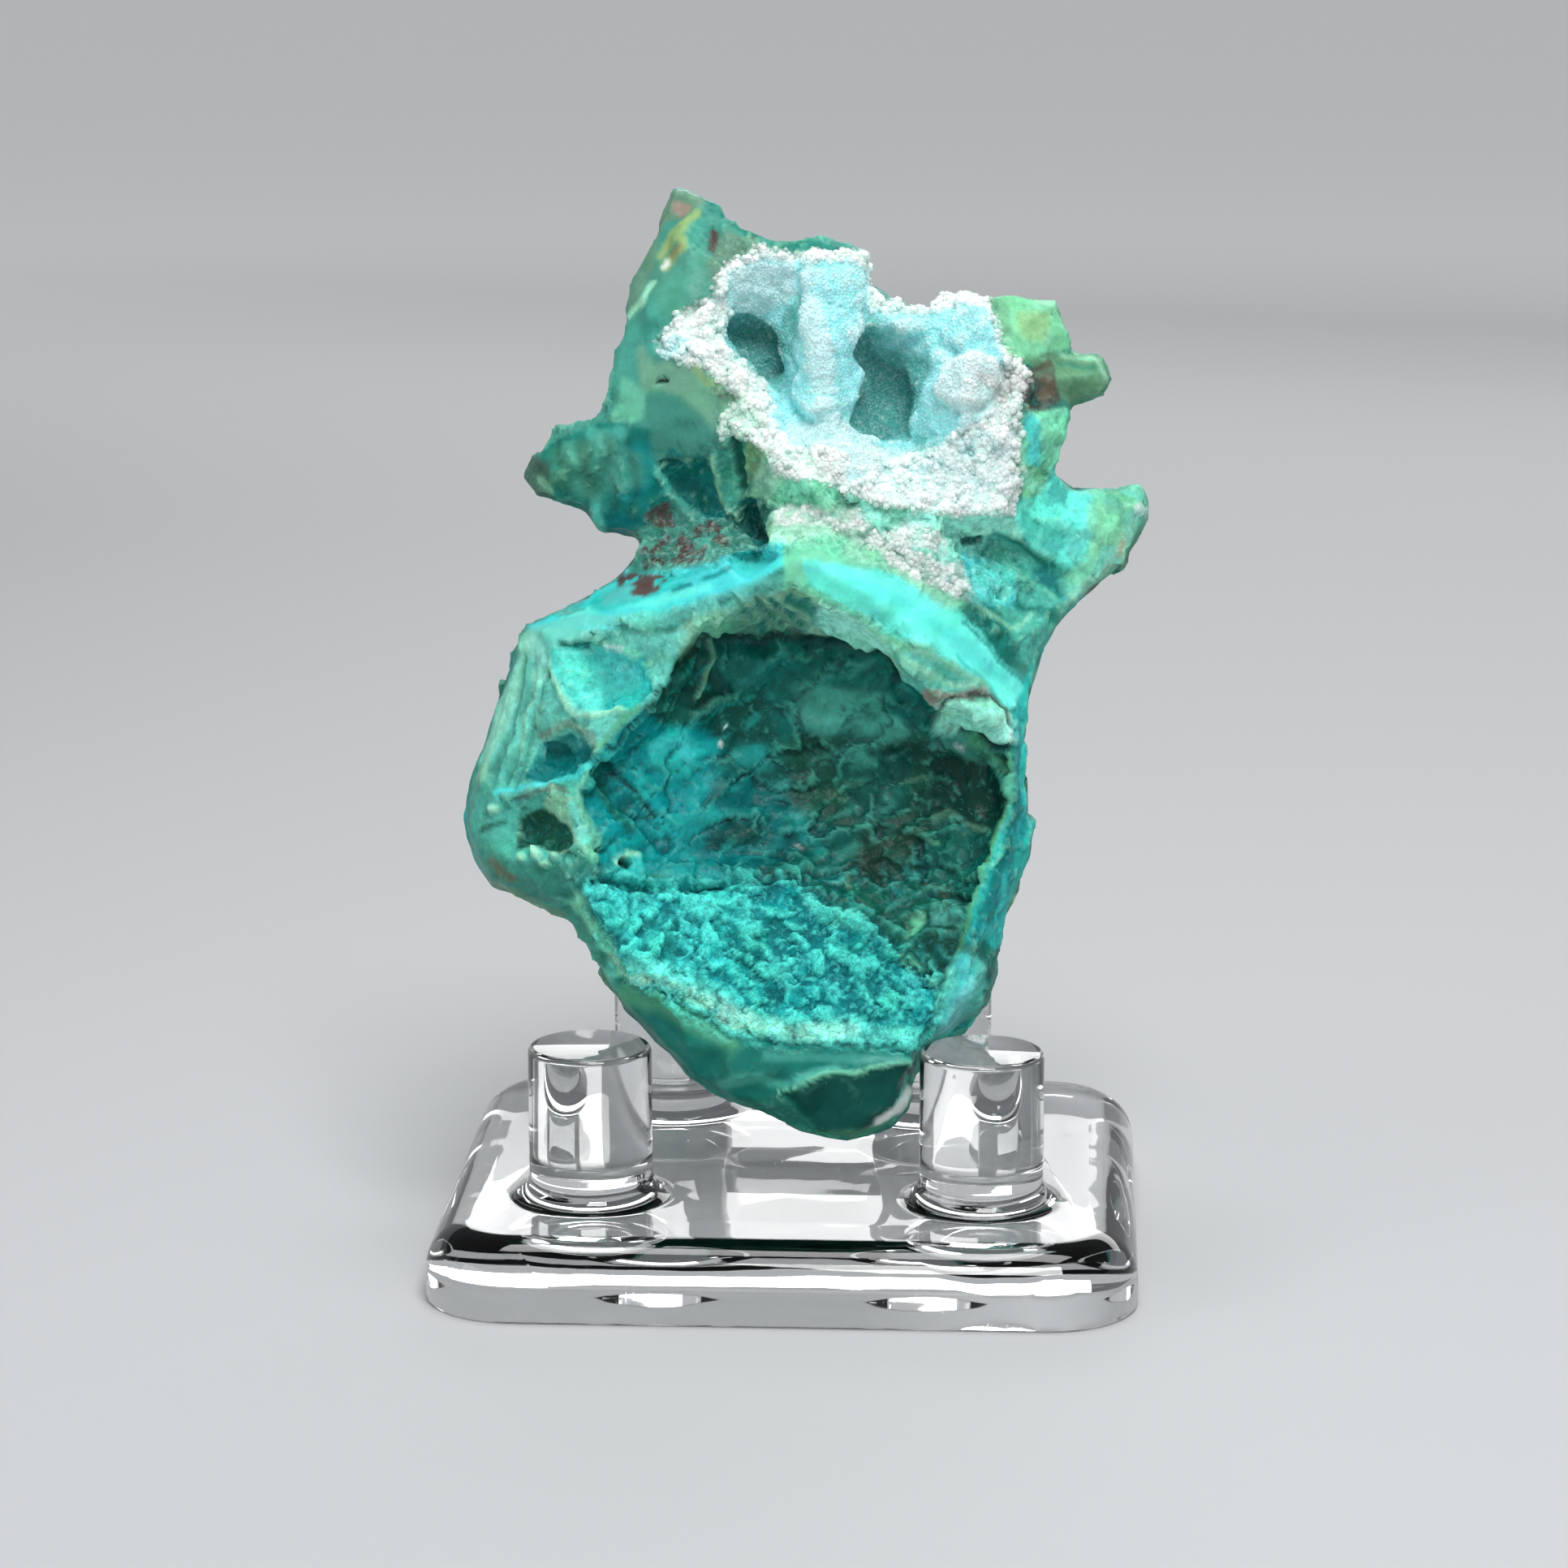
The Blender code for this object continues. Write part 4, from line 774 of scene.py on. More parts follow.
patch("teal", [(-18, 0.6), (-16.6, 3), (-14.8, 3.6), (-13.4, 2.6), (-14, 1), (-16, 0.2)], 0.3)
streak("slate", [(-16.8, 2.2), (-15.4, 3.2), (-14.2, 3.0)], 0.15, 0.4, 0.45)
streak("brown", [(-16.8, 3.6), (-15, 4.5), (-13.5, 3.6), (-13.2, 2.8)], 0.12, 0.35, 0.55)
streak("sky", [(-20.2, -0.5), (-17, 0.1), (-14.6, 0.5), (-13.1, 1.8)], 0.10, 0.2, 0.9)
streak("leaf", [(-13.1, 2.8), (-11.6, 4), (-10.2, 5.4)], 0.06, 0.2, 0.7)
streak("maroon", [(-18.8, -1.0), (-16.4, -0.2), (-15.2, -0.4)], 0.05, 0.2, 0.7)
patch("pale green", [(-16.4, -0.6), (-15.2, -1), (-14.2, -2.4), (-13.8, -4.6), (-14.6, -3.8), (-15.6, -2.8),
                     (-16.6, -1.4)], 0.35, 0.95)
streak("mint", [(-14.2, -1.2), (-13.5, -3.0), (-13.3, -5.2)], 0.16, 0.3, 0.6)
streak("turquoise", [(-14.8, -1.6), (-14.4, -2.8), (-14.0, -4.0)], 0.25, 0.3, 0.7)
patch("olive", [(-18.4, -2.6), (-16.8, -1.6), (-15, -3.2), (-14.8, -4.8), (-16.4, -4.4), (-18.6, -4.4)], 0.25)
for bump_x, bump_z in ((-18.6, -5.1), (-17.4, -4.9), (-16.8, -5.5), (-16.0, -4.9), (-20.4, -1.6)):
    streak("pale green", [(bump_x, bump_z), (bump_x + 0.2, bump_z)], 0.12, 0.3, 0.8)
patch("waxy green", [(-21, -5.0), (-19, -5.8), (-14.6, -5.6), (-14.8, -7.6), (-18, -8.2), (-21, -7)], 0.5, 0.85)
patch("dark jade", [(-20.4, -5.8), (-15.2, -6.0), (-15.2, -7.6), (-18, -8.2), (-20.4, -7)], 0.7, 0.5)
streak("brown", [(-20.8, -5.6), (-19.2, -6.6)], 0.15, 0.35, 0.6)
streak("olive", [(-21.2, -3.2), (-19.6, -2.6)], 0.1, 0.3, 0.8)
streak("sage", [(-21, -7.0), (-18, -8.3), (-15.8, -9.2)], 0.25, 0.4, 0.8)

# The waist: brown-specked shelf, crevice, sage and white streaks
patch("waxy green", [(-10.6, 15), (-9.6, 17.2), (-6.5, 18.4), (-3.2, 18.2), (-3, 16.6), (-5, 15.6), (-8, 15.2)], 0.3)
streak("jade", [(-5.4, 16.9), (-3.6, 17.6)], 0.3, 0.4, 0.6)
for blotch in (
    [(-11.4, 14.6), (-9.6, 14.4), (-8.6, 14.4)], [(-10.4, 13.8), (-9.2, 13.8)], [(-9.6, 15.6), (-8.6, 15.8)],
    [(-9.8, 16.6), (-8, 16.9), (-7, 16.4)], [(-8.6, 17.4), (-7, 17.4), (-6.6, 16.8)], [(-7.6, 15.8), (-6.6, 16.0)],
    [(-6, 16.2), (-5.4, 16.6)], [(-6, 17.6), (-5.8, 18.0)], [(-4.6, 17.4), (-4.0, 17.0)], [(-5.0, 18.2), (-4.6, 18.0)],
):
    streak("maroon", blotch, 0.26, 0.25, 0.95 * ramp(swell(on_face, 0.55, 76), -0.55, -0.1))
streak("teal", [(-2.6, 19.8), (-2.2, 18.2), (-1.5, 17.0), (-1.8, 16.2)], 0.30, 0.3, 0.95)
streak("black", [(-2.3, 19.4), (-1.9, 18), (-1.5, 17.2)], 0.06, 0.22, 0.6)
streak("waxy green", [(-3.2, 18.0), (-3.0, 16.6)], 0.25, 0.3, 0.6)
patch("pale green", [(-1.0, 18.6), (0.4, 18.9), (3.4, 19.4), (6, 18.4), (5, 17.4), (1, 17.2), (-1, 17.2)], 0.5, 0.95)
# Painted light: mint lightens this patch in the shade under the crust
patch("mint", [(-0.6, 21), (2, 21.2), (3.4, 20.4), (3.4, 19), (1.4, 18.8), (-0.8, 19.8)], 0.35, 0.9)
streak("leaf", [(2, 21.5), (3, 20.4), (5.6, 19.4), (9.8, 18.9)], 0.22, 0.4, 0.45)
patch("celadon", [(9, 18.6), (16.4, 18.8), (15.4, 16.8), (12.6, 15.8), (10, 16.6)], 0.5, 0.8)
# Painted light: foam lightens the strip in the shade under the crust
streak("foam", [(9.4, 18.2), (13, 18.2), (16.4, 18.0)], 0.5, 0.5, 0.85)
streak("dark jade", [(13.0, 16.9), (13.7, 17.0)], 0.18, 0.3)
streak("pale green", [(4.8, 16.4), (8, 15.4), (11.6, 12.9)], 0.35, 0.6, 0.6)
streak("foam", [(6.0, 18.6), (8.6, 17.9), (11.6, 16.2)], 0.5, 0.8, 0.7)
blocks = 0.35 + 0.65 * ramp(small_tone, 0.2, 0.4)
streak("white", [(0.4, 18.6), (2.4, 18.8), (4.6, 18.2), (6, 17.2), (8.4, 17)], 0.45, 0.5, 0.95 * blocks)
streak("white", [(7.8, 16.3), (10, 14.9), (12, 14.3), (13.4, 13.5)], 0.60, 0.5, 0.95 * blocks)
streak("white", [(8.4, 17.6), (10.4, 17.2), (11.0, 16.6)], 0.3, 0.6, 0.8 * blocks)
patch("sky", [(12.6, 15.8), (14.4, 15.6), (16.4, 14.6), (16, 12.6), (13.4, 12.8)], 0.5, 0.9)
streak("turquoise", [(14.0, 14.8), (15.4, 14.4), (15.2, 13.4)], 0.5, 0.5, 0.8)
patch("jade", [(14.4, 16.4), (15.6, 17), (17, 16.2), (18.4, 15), (20, 14.6), (20.6, 13.4), (19, 12.6), (17, 13),
               (16.4, 15), (14.8, 15.8)], 0.4, 0.9)
streak("teal", [(18.2, 14.9), (19.4, 14.4), (20.4, 13.6)], 0.25, 0.5, 0.8)
patch("jade", [(15, 12.4), (18, 12), (19.2, 11), (17.2, 8.4), (16.8, 10)], 0.5, 0.8)
streak("pale green", [(13.6, 12.4), (16.0, 10.8), (17.6, 12.2)], 0.06, 0.25, 0.5)

# Head, left: the waxy slab with its stained tip, the mottled knob and the dark hollow between
patch("waxy green", [(-7.6, 42), (-5, 40.8), (-1, 38.4), (-2, 37), (-4, 35), (-5, 33.4), (-8, 31.8), (-9, 30.6),
                     (-8, 29.4), (-5.6, 29.8), (-3, 27.2), (-4.4, 24.6), (-6, 23.4), (-9, 23), (-13, 26),
                     (-12.6, 28), (-11, 32), (-9, 38)], 0.4)
streak("jade", [(-6.4, 38.6), (-6.8, 36), (-7.6, 34), (-9.8, 31), (-11.2, 28.6)], 0.6, 1.2, 0.35)
streak("sea green", [(-9.6, 31.8), (-8.4, 32.6), (-7.6, 33.6)], 0.2, 0.5, 0.35)
patch("sage", [(-8.4, 42.4), (-5.6, 41.4), (-6.8, 40.2), (-8.6, 40)], 0.4, 0.9)
streak("rose", [(-7.3, 40.9), (-7.0, 40.8)], 0.25, 0.4, 0.6)
streak("lime", [(-6.0, 40.4), (-7.0, 39.4), (-7.8, 38.2), (-8.6, 37.2)], 0.12, 0.35, 0.8)
streak("lime", [(-7.0, 38.6), (-7.0, 37.6), (-8.4, 36.4)], 0.12, 0.35, 0.8)
streak("rust", [(-7.2, 37.9), (-7.8, 37.1)], 0.06, 0.25, 0.7)
# Painted glint: a small white dot
streak("white", [(-8.5, 36.4), (-8.1, 36.7)], 0.06, 0.2, 0.8)
streak("sage", [(-8.4, 40.4), (-9.2, 38.0), (-10.0, 35.6), (-10.6, 33.6)], 0.25, 0.4, 0.7)
streak("pale green", [(-10.8, 32.9), (-9.9, 33.8), (-9.2, 35.4)], 0.06, 0.25, 0.8)
patch("sage", [(-9, 37), (-5.4, 37), (-5, 34), (-8, 33)], 1.0, 0.25)
streak("maroon", [(-4.8, 38.7), (-4.85, 37.8)], 0.16, 0.18, 0.95)
patch("sage", [(-4, 38.8), (-2, 38.2), (-3.4, 36.6), (-4.6, 35), (-5, 36.6)], 0.4, 0.85)
streak("sea green", [(-4.8, 40.8), (-2, 39.0), (1, 38.0), (3.6, 37.4)], 0.3, 0.4, 0.9)
patch("lichen", [(-10, 30.6), (-9, 29), (-5.6, 29.6), (-5, 28.4), (-3, 27.2), (-4.6, 25), (-7, 27.6), (-9.6, 28)],
      0.6, 0.65)
streak("lime", [(-6.2, 29.4), (-5.3, 28.1), (-4.2, 28.2)], 0.10, 0.35, 0.5)
streak("brown", [(-4.6, 27.4), (-3.1, 26.9)], 0.10, 0.35, 0.5)
streak("black", [(-8.6, 28.2), (-8.1, 28.2)], 0.08, 0.12)
streak("black", [(-6.9, 33.0), (-5.6, 33.6)], 0.10, 0.22, 0.9)
streak("brown", [(-7.8, 32.2), (-6.9, 32.3)], 0.08, 0.2, 0.8)
patch("mint", [(-11.2, 28.4), (-9.8, 27.6), (-10, 26), (-12, 25.4), (-11.6, 27)], 0.5, 0.5)
patch("sea green", [(-18.6, 22), (-16, 24.2), (-13, 25.4), (-9.4, 25), (-9.4, 22.6), (-8.6, 20.8), (-10, 18.6),
                    (-13, 17.6), (-14.2, 19.4), (-17.4, 20.2)], 0.4)
patch("peacock", [(-11.6, 23.6), (-9.6, 24), (-9.2, 21), (-11, 20), (-12.6, 20.6)], 0.8, 0.5)
streak("teal", [(-13.4, 18.6), (-11, 18.5), (-9.4, 19.4)], 0.4, 0.6, 0.7)
for mottle in (
    [(-13.6, 25.0), (-12.4, 24.0), (-11.6, 22.6), (-12.0, 21.5)], [(-12.8, 24.6), (-11.2, 24.8)],
    [(-15.2, 24.0), (-14.6, 22.6)], [(-14.8, 21.4), (-14.0, 20.8)], [(-13.4, 22.8), (-12.8, 23.6)],
    [(-13.4, 20.2), (-13.0, 18.4)],
):
    streak("jade", mottle, 0.16, 0.5, 0.6)
for facet_x in (-15.6, -14.2, -12.4, -10.8):
    streak("petrol", [(facet_x, 24.4), (facet_x + 0.5, 21.4), (facet_x + 0.3, 19.0)], 0.08, 0.5, 0.4)
streak("bark", [(-18.6, 22.8), (-17.6, 22.0), (-17.8, 20.7)], 0.9, 0.8, 0.9)
streak("pale green", [(-17.0, 21.4), (-16.5, 20.8)], 0.15, 0.3, 0.5)
patch("moss", [(-16, 23.6), (-13, 24.6), (-10, 23), (-10, 21.4), (-13.6, 20.6), (-16, 21.4)], 0.8, 0.28)
patch("teal", [(-8.6, 22.2), (-6.8, 23), (-5.4, 22.8), (-4.4, 21.4), (-3.8, 18.8), (-5.4, 18.8), (-7, 20.2)], 0.25)
streak("midnight", [(-8.6, 22.3), (-6.8, 23), (-5.5, 22.8), (-4.6, 21.6)], 0.08, 0.3, 0.8)
patch("dark jade", [(-8.6, 22.2), (-6.8, 23), (-5.4, 22.8), (-4.4, 21.4), (-5.4, 18.8), (-7, 20.2)], 0.25, 0.35)
streak("jade", [(-8.8, 22.0), (-7.5, 20.4), (-5.7, 18.7)], 0.16, 0.25, 0.8)
streak("teal", [(-8.0, 22.9), (-7.6, 23.4), (-7.0, 23.2)], 0.08, 0.15, 0.9)
patch("maroon", [(-9.8, 19.1), (-8.0, 20.1), (-7.6, 18.2), (-9, 18.4)], 0.2, 0.9)
patch("jade", [(-4.7, 23.4), (-3, 23), (-3, 20), (-3.6, 19.2), (-4.6, 20.6)], 0.2, 0.8)
streak("pale green", [(-4.8, 23), (-4.6, 21), (-4.2, 19.6), (-3.2, 18.6)], 0.08, 0.2, 0.8)
streak("olive", [(-3.8, 25), (-3, 23), (-2.8, 21)], 0.14, 0.25, 0.85)
patch("lime", [(-2.4, 24), (-1.2, 23.6), (-1.4, 21.6), (-2.6, 21.4)], 0.3, 0.45)

# The quartz: white sugary crust round a pale blue druse with two deep pits, and its pale domes
patch("white", CRUST, 0.25)
lay("celadon", 0.35 * in_crust * (1 - in_druse) * (1 - ramp(gap, 0.05, 0.25)))
lay("pale green", 0.35 * in_crust * (1 - in_druse) * ramp(swell(on_face, 1.6, 70), 0.3, 0.7))
patch("pale green", [(-1.2, 23), (0, 21.4), (-0.8, 20), (-2.2, 20.4)], 0.3, 0.7)
patch("mint", [(-4.6, 25.2), (-2.8, 27), (-1.6, 25.6), (-2.8, 24.4)], 0.4, 0.5)
patch("ice", [(-8.4, 31), (-7.4, 31.4), (-6.4, 30.4), (-7, 29.8), (-8, 30)], 0.3, 0.6)
patch("slate", [(7, 33.4), (10.2, 33.2), (9.6, 32.2), (7.4, 32.0)], 0.4, 0.4)
patch("ice", DRUSE, 0.3)
lay("slate", 0.25 * in_druse * (1 - ramp(spray_gap, 0.05, 0.25)))
patch("slate", [(-4.1, 32.8), (-1.7, 32.3), (-0.3, 32.4), (1.3, 34.2), (0.9, 31.6), (0.3, 30), (-0.1, 27.6), (-0.9, 28.2),
                (-1.6, 29), (-3.2, 30.4), (-4.0, 31.4)], 0.2, 0.9)
patch("pit", [(-3.9, 32.5), (-1.8, 31.9), (-0.4, 31.9), (0.2, 31.0), (-0.3, 29.2), (-1.2, 29.0), (-3.0, 30.6)], 0.2, 0.85)
patch("slate", [(5.4, 31.6), (6.4, 33.2), (8, 33.0), (10.4, 32.6), (10.2, 29.6), (9.8, 27.6), (9.0, 24.6), (6.8, 24.2),
                (5.1, 25.9), (5.4, 28)], 0.2, 0.9)
patch("ice", [(6.4, 33.2), (8, 33.0), (10.4, 32.6), (10.2, 30.2), (8.8, 30.0), (7.6, 31.0)], 0.3, 0.6)
patch("pit", [(5.3, 30.8), (6.7, 31.3), (7.6, 29.7), (8.6, 29.1), (9.4, 28.3), (8.8, 25.2), (7.0, 24.8), (5.3, 26.1),
              (5.6, 28.5)], 0.2, 0.85)
patch("frost", [(-3.4, 35.4), (-1, 36.4), (0.6, 36), (0.6, 34.4), (-1.2, 33.4), (-3.4, 33.6)], 0.5, 0.6)
patch("frost", [(11.6, 29.6), (13, 30), (15, 29.4), (15.8, 28), (15, 26), (13, 25.6), (11.8, 26.6)], 0.4, 0.7)
streak("rose", [(14.0, 28.2), (15.4, 27.4), (16.0, 28.4)], 0.3, 0.7, 0.45)
streak("maroon", [(15.0, 29.2), (16.0, 28.4), (16.6, 28.8)], 0.05, 0.2, 0.6)
streak("maroon", [(15.2, 27.6), (15.6, 27.0)], 0.05, 0.2, 0.6)
patch("frost", [(0.6, 25.2), (4, 25.6), (6.4, 24.6), (7.2, 23.2), (6.4, 21.6), (4.8, 21), (4.8, 22.6), (3, 23.8),
                (0.6, 23.6)], 0.3, 0.6)
streak("sky", [(3.4, 33.0), (3.4, 28.6)], 1.0, 0.8, 0.12)
patch("ice", [(12.4, 23.8), (14.4, 23.6), (14.2, 22.4), (12.6, 22.8)], 0.4, 0.7)
lay("slate", 0.30 * cover([(12.6, 33), (12.8, 30.8)], 0.8, 0.6, False))
patch("frost", [(5.4, 23), (12, 23.4), (16, 24), (16, 20), (11, 19.6), (6.6, 20.4)], 0.8, 0.8)
lay("slate", 0.5 * cover([(6, 22.6), (14.4, 22.4)], 1.6, 0.8, False) * ramp(swell(on_face, 0.7, 72), 0.2, 0.6))
streak("leaf", [(8.2, 23.0), (9.4, 22.6)], 0.05, 0.25, 0.4)

# Head, right: two green tabs, a brown stain, a turquoise strip and the spur
patch("spring green", [(14.6, 34.6), (19.4, 34.6), (20.2, 31.2), (18, 30), (16.2, 29.8), (15.6, 31.4)], 0.3, 0.9)
patch("lime", [(16.8, 33), (18.6, 33.2), (18.4, 31.4), (17, 31.6)], 0.6, 0.5)
streak("sage", [(15.2, 33.8), (15.8, 32.0)], 0.3, 0.5, 0.4)
patch("moss", [(17.6, 29.8), (20.4, 30.6), (22.4, 30.4), (23.2, 28.6), (22.6, 27.6), (20.6, 27), (19.4, 27.4),
               (19, 29)], 0.3)
streak("pale green", [(19.6, 30.4), (22.2, 30.2), (22.9, 28.6)], 0.06, 0.3, 0.6)
streak("sea green", [(19.6, 29.6), (22.0, 29.4)], 0.08, 0.3, 0.5)
patch("maroon", [(17.4, 29.4), (19, 29.6), (19.2, 27), (18, 25.8), (17.2, 26.2), (17, 27.4)], 0.25, 0.75)
streak("brown", [(18.2, 28.9), (18.9, 28.2), (18.6, 27.4)], 0.15, 0.3, 0.6)
streak("sage", [(18.0, 28.9), (18.8, 29.0)], 0.15, 0.3, 0.6)
streak("black", [(17.8, 27.4), (18.2, 26.8)], 0.15, 0.35, 0.6)
patch("mint", [(16.8, 25.8), (18.4, 26), (19.9, 26.4), (19.9, 24), (18.8, 22), (17, 22.2), (16.8, 24)], 0.3)
streak("sky", [(17.4, 25.4), (17.8, 23.6), (17.6, 22.4)], 0.35, 0.4, 0.8)
streak("deep teal", [(16.1, 25.3), (16.5, 25.1)], 0.15, 0.25, 0.9)
patch("spring green", [(16.6, 22.2), (18.4, 22), (19, 20.2), (17.2, 20)], 0.3, 0.9)
# Painted light: foam lightens the shaded notch
streak("foam", [(17.0, 21.6), (17.8, 20.8), (18.6, 20.8)], 0.25, 0.3, 0.5)
patch("turquoise", [(19.2, 21.8), (20.2, 20.8), (22.6, 20.8), (24, 19), (22, 16.4), (20, 15.2), (17.6, 17), (16.8, 18.4),
                    (16.8, 19.8), (18.6, 20.2)], 0.4)
patch("mint", [(22.0, 20.8), (25.2, 21.6), (26.4, 19.6), (24.8, 17), (21.6, 13.6), (20.4, 14.4), (21.8, 16.8),
               (22.4, 18.8)], 0.5, 0.85)
patch("spring green", [(21.8, 19.6), (24.6, 19.6), (24, 17), (22, 16)], 0.6, 0.7)
patch("leaf", [(23.4, 21), (25.6, 21.4), (25.6, 20.2), (24, 20)], 0.4, 0.7)
streak("pale green", [(25.2, 18.8), (24.4, 17.2), (23, 15), (21, 13.4)], 0.30, 0.5, 0.85)
streak("rust", [(25.0, 18.0), (23.8, 16.2), (22.0, 14.0)], 0.05, 0.25, 0.5)
streak("rose", [(24.6, 17.4), (22.8, 15.2)], 0.06, 0.25, 0.4)
streak("white", [(25.4, 19.3), (26.4, 19.1)], 0.2, 0.35, 0.9)
lay("celadon", 0.6 * on_spur * np.where(tone > 0.62, 1.0, 0.0))
lay("teal", 0.35 * on_spur * np.where(tone < 0.25, 1.0, 0.0))

# Edges are painted paler, partly wear and partly painted highlight, and grooves darker as painted shade,
# more so on rough breaks than on waxy ones, and each chip has a tone of its own
rough_break = np.clip(in_apron + on_waist + rest * 0.7 + 0.6 * in_crust + behind, 0, 1)
chip_tone = tone * (1 - behind) + (0.6 * back_tone + 0.4 * tone * crumbled + 0.2 * (1 - crumbled)) * behind
paint *= (1 + 0.35 * (chip_tone - 0.5) * (0.15 + 0.85 * rough_break) + 0.30 * (big_tone - 0.5) * in_hollow)[:, None]
# Paler colour on edges is part wear and part painted highlight; darker colour in grooves is painted shade
worn_and_lit_edge = ramp(small_edge, 0.03, 0.15)
groove_shade = ramp(-small_edge, 0.03, 0.15)
matt = (1 - 0.7 * smooth) * (1 - in_crust)
lay("pale green", 0.32 * worn_and_lit_edge * matt * (1 - in_hollow) * (1 - in_apron))
lay("sea green", 0.40 * groove_shade * matt * (1 - in_hollow) * (1 - in_apron))
lay("jade", 0.35 * worn_and_lit_edge * in_hollow)
lay("midnight", 0.55 * groove_shade * in_hollow)
lay("lagoon", 0.55 * worn_and_lit_edge * in_apron)
lay("teal", 0.60 * groove_shade * in_apron)
lay("white", 0.4 * worn_and_lit_edge * in_crust)
lay("slate", 0.22 * groove_shade * in_crust)


def add_field(data, name, values):
    kind = "FLOAT_COLOR" if values.ndim == 2 else "FLOAT"
    attribute = data.attributes.new(name, kind, "POINT")
    if values.ndim == 2:
        values = np.concatenate([values, np.ones((len(values), 1))], axis=1)
        attribute.data.foreach_set("color", values.astype(np.float32).ravel())
    else:
        attribute.data.foreach_set("value", values.astype(np.float32))


add_field(stone.data, "stone_colour", paint)
add_field(stone.data, "gloss", np.clip(0.8 * in_hollow + smooth + 0.4 * rest, 0, 1))
add_field(stone.data, "mottle", np.clip(0.15 + 0.25 * in_hollow + 0.50 * rough_break, 0, 1))
add_field(stone.data, "crackle", np.clip(in_apron + 0.5 * on_waist + 0.3 * rest, 0, 1))
add_field(stone.data, "veins", np.clip(in_hollow + 0.25 * rest, 0, 1))
add_field(stone.data, "sugar", np.clip(in_crust + 0.4 * on_waist, 0, 1))


stone_finish, stone_shader, w = new_finish("chrysocolla")
ground = w.make("ShaderNodeAttribute", {"attribute_name": "stone_colour"})
gloss_here = w.make("ShaderNodeAttribute", {"attribute_name": "gloss"}, out=2)
mottle_here = w.make("ShaderNodeAttribute", {"attribute_name": "mottle"}, out=2)
crackle_here = w.make("ShaderNodeAttribute", {"attribute_name": "crackle"}, out=2)
veins_here = w.make("ShaderNodeAttribute", {"attribute_name": "veins"}, out=2)
sugar_here = w.make("ShaderNodeAttribute", {"attribute_name": "sugar"}, out=2)
place = w.make("ShaderNodeTexCoord", out=3)
in_mm = w.make("ShaderNodeVectorMath", {"operation": "SCALE"}, {0: place, "Scale": 1000.0})


def cloud(scale, detail=2.0, rough=0.5, warp=0.0, at=in_mm, out=0):
    return w.make("ShaderNodeTexNoise", None, {"Vector": at, "Scale": scale, "Detail": detail,
                                               "Roughness": rough, "Distortion": warp}, out)


drift = w.make("ShaderNodeVectorMath", {"operation": "SCALE"}, {0: cloud(1.1, 3.0, out=1), "Scale": 1.6})
stirred_mm = w.make("ShaderNodeVectorMath", {"operation": "ADD"}, {0: in_mm, 1: drift})
broad = cloud(0.35, 3.0, 0.6)
grain = cloud(1.3, 5.0, 0.62, 0.7)
speckle = cloud(3.0, 3.0, 0.55, 0.4)
cells = w.make("ShaderNodeTexVoronoi", {"feature": "F1"}, {"Vector": stirred_mm, "Scale": 1.5}, out=1)
cell_tone = w.make("ShaderNodeSeparateColor", None, {0: cells})
seams = w.make("ShaderNodeTexVoronoi", {"feature": "DISTANCE_TO_EDGE"}, {"Vector": stirred_mm, "Scale": 1.5})

# Colour: the laid-on ground, lighter and darker in clouds, with crackle, thin pale veins and sugar
flat = (1.0, 1.0, 1.0, 1)
clouds = w.mix(grain.between(0.32, 0.68), (0.62, 0.66, 0.66, 1), (1.30, 1.28, 1.28, 1))
tone = w.mix(1.0, ground, w.mix(mottle_here, flat, clouds), "MULTIPLY")
dust = w.mix(speckle.between(0.32, 0.68), (0.84, 0.86, 0.86, 1), (1.14, 1.12, 1.12, 1))
tone = w.mix(1.0, tone, w.mix(mottle_here, flat, dust), "MULTIPLY")
tone = w.mix(broad.between(0.42, 0.68) * 0.35, tone, w.mix(1.0, tone, (0.75, 1.08, 0.80, 1), "MULTIPLY"))
pale_cells = crackle_here * cell_tone.between(0.60, 0.85) * speckle.between(0.40, 0.60)
tone = w.mix(pale_cells * 0.35, tone, (0.10, 0.74, 0.70, 1))
tone = w.mix(crackle_here * (1 - seams.between(0.0, 0.08)) * 0.40, tone, (0.002, 0.09, 0.10, 1))
web = w.make("ShaderNodeMath", {"operation": "ABSOLUTE"}, {0: cloud(0.7, 3.0, 0.55, 1.2) - 0.5})
web_lines = veins_here * (1 - web.between(0.003, 0.016)) * grain.between(0.45, 0.60)
tone = w.mix(web_lines * 0.30, tone, (0.08, 0.38, 0.28, 1))
tone = w.mix(sugar_here * speckle.between(0.50, 0.64) * 0.25, tone, (0.92, 0.97, 0.95, 1))
stone_shader.inputs["Base Color"].default_value = (0.07, 0.42, 0.42, 1)
w.tree.links.new(tone.socket, stone_shader.inputs["Base Color"])

# Gloss: waxy in the hollow and on the slab and bands, dull on the crust and the back
rough = 0.60 - 0.24 * gloss_here + 0.20 * (speckle - 0.5)
w.tree.links.new(rough.socket, stone_shader.inputs["Roughness"])
height = mottle_here * (0.7 * grain + 0.45 * speckle) + 0.10 * speckle + 0.3 * crackle_here * cell_tone
height = height + 0.22 * crackle_here * seams.between(0.0, 0.12) + 0.2 * sugar_here * cloud(6.0, 1.0)
bump = w.make("ShaderNodeBump", None, {"Strength": 0.6, "Distance": 0.00022, "Height": height})
w.tree.links.new(bump.socket, stone_shader.inputs["Normal"])
stone_shader.inputs["IOR"].default_value = 1.50
stone_shader.inputs["Specular IOR Level"].default_value = 0.13
stone_shader.inputs["Subsurface Weight"].default_value = 0.12
stone_shader.inputs["Subsurface Radius"].default_value = (0.25, 1.0, 0.95)
stone_shader.inputs["Subsurface Scale"].default_value = 0.0010
stone.data.materials.append(stone_finish)
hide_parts("specimen")
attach(stone, "root")


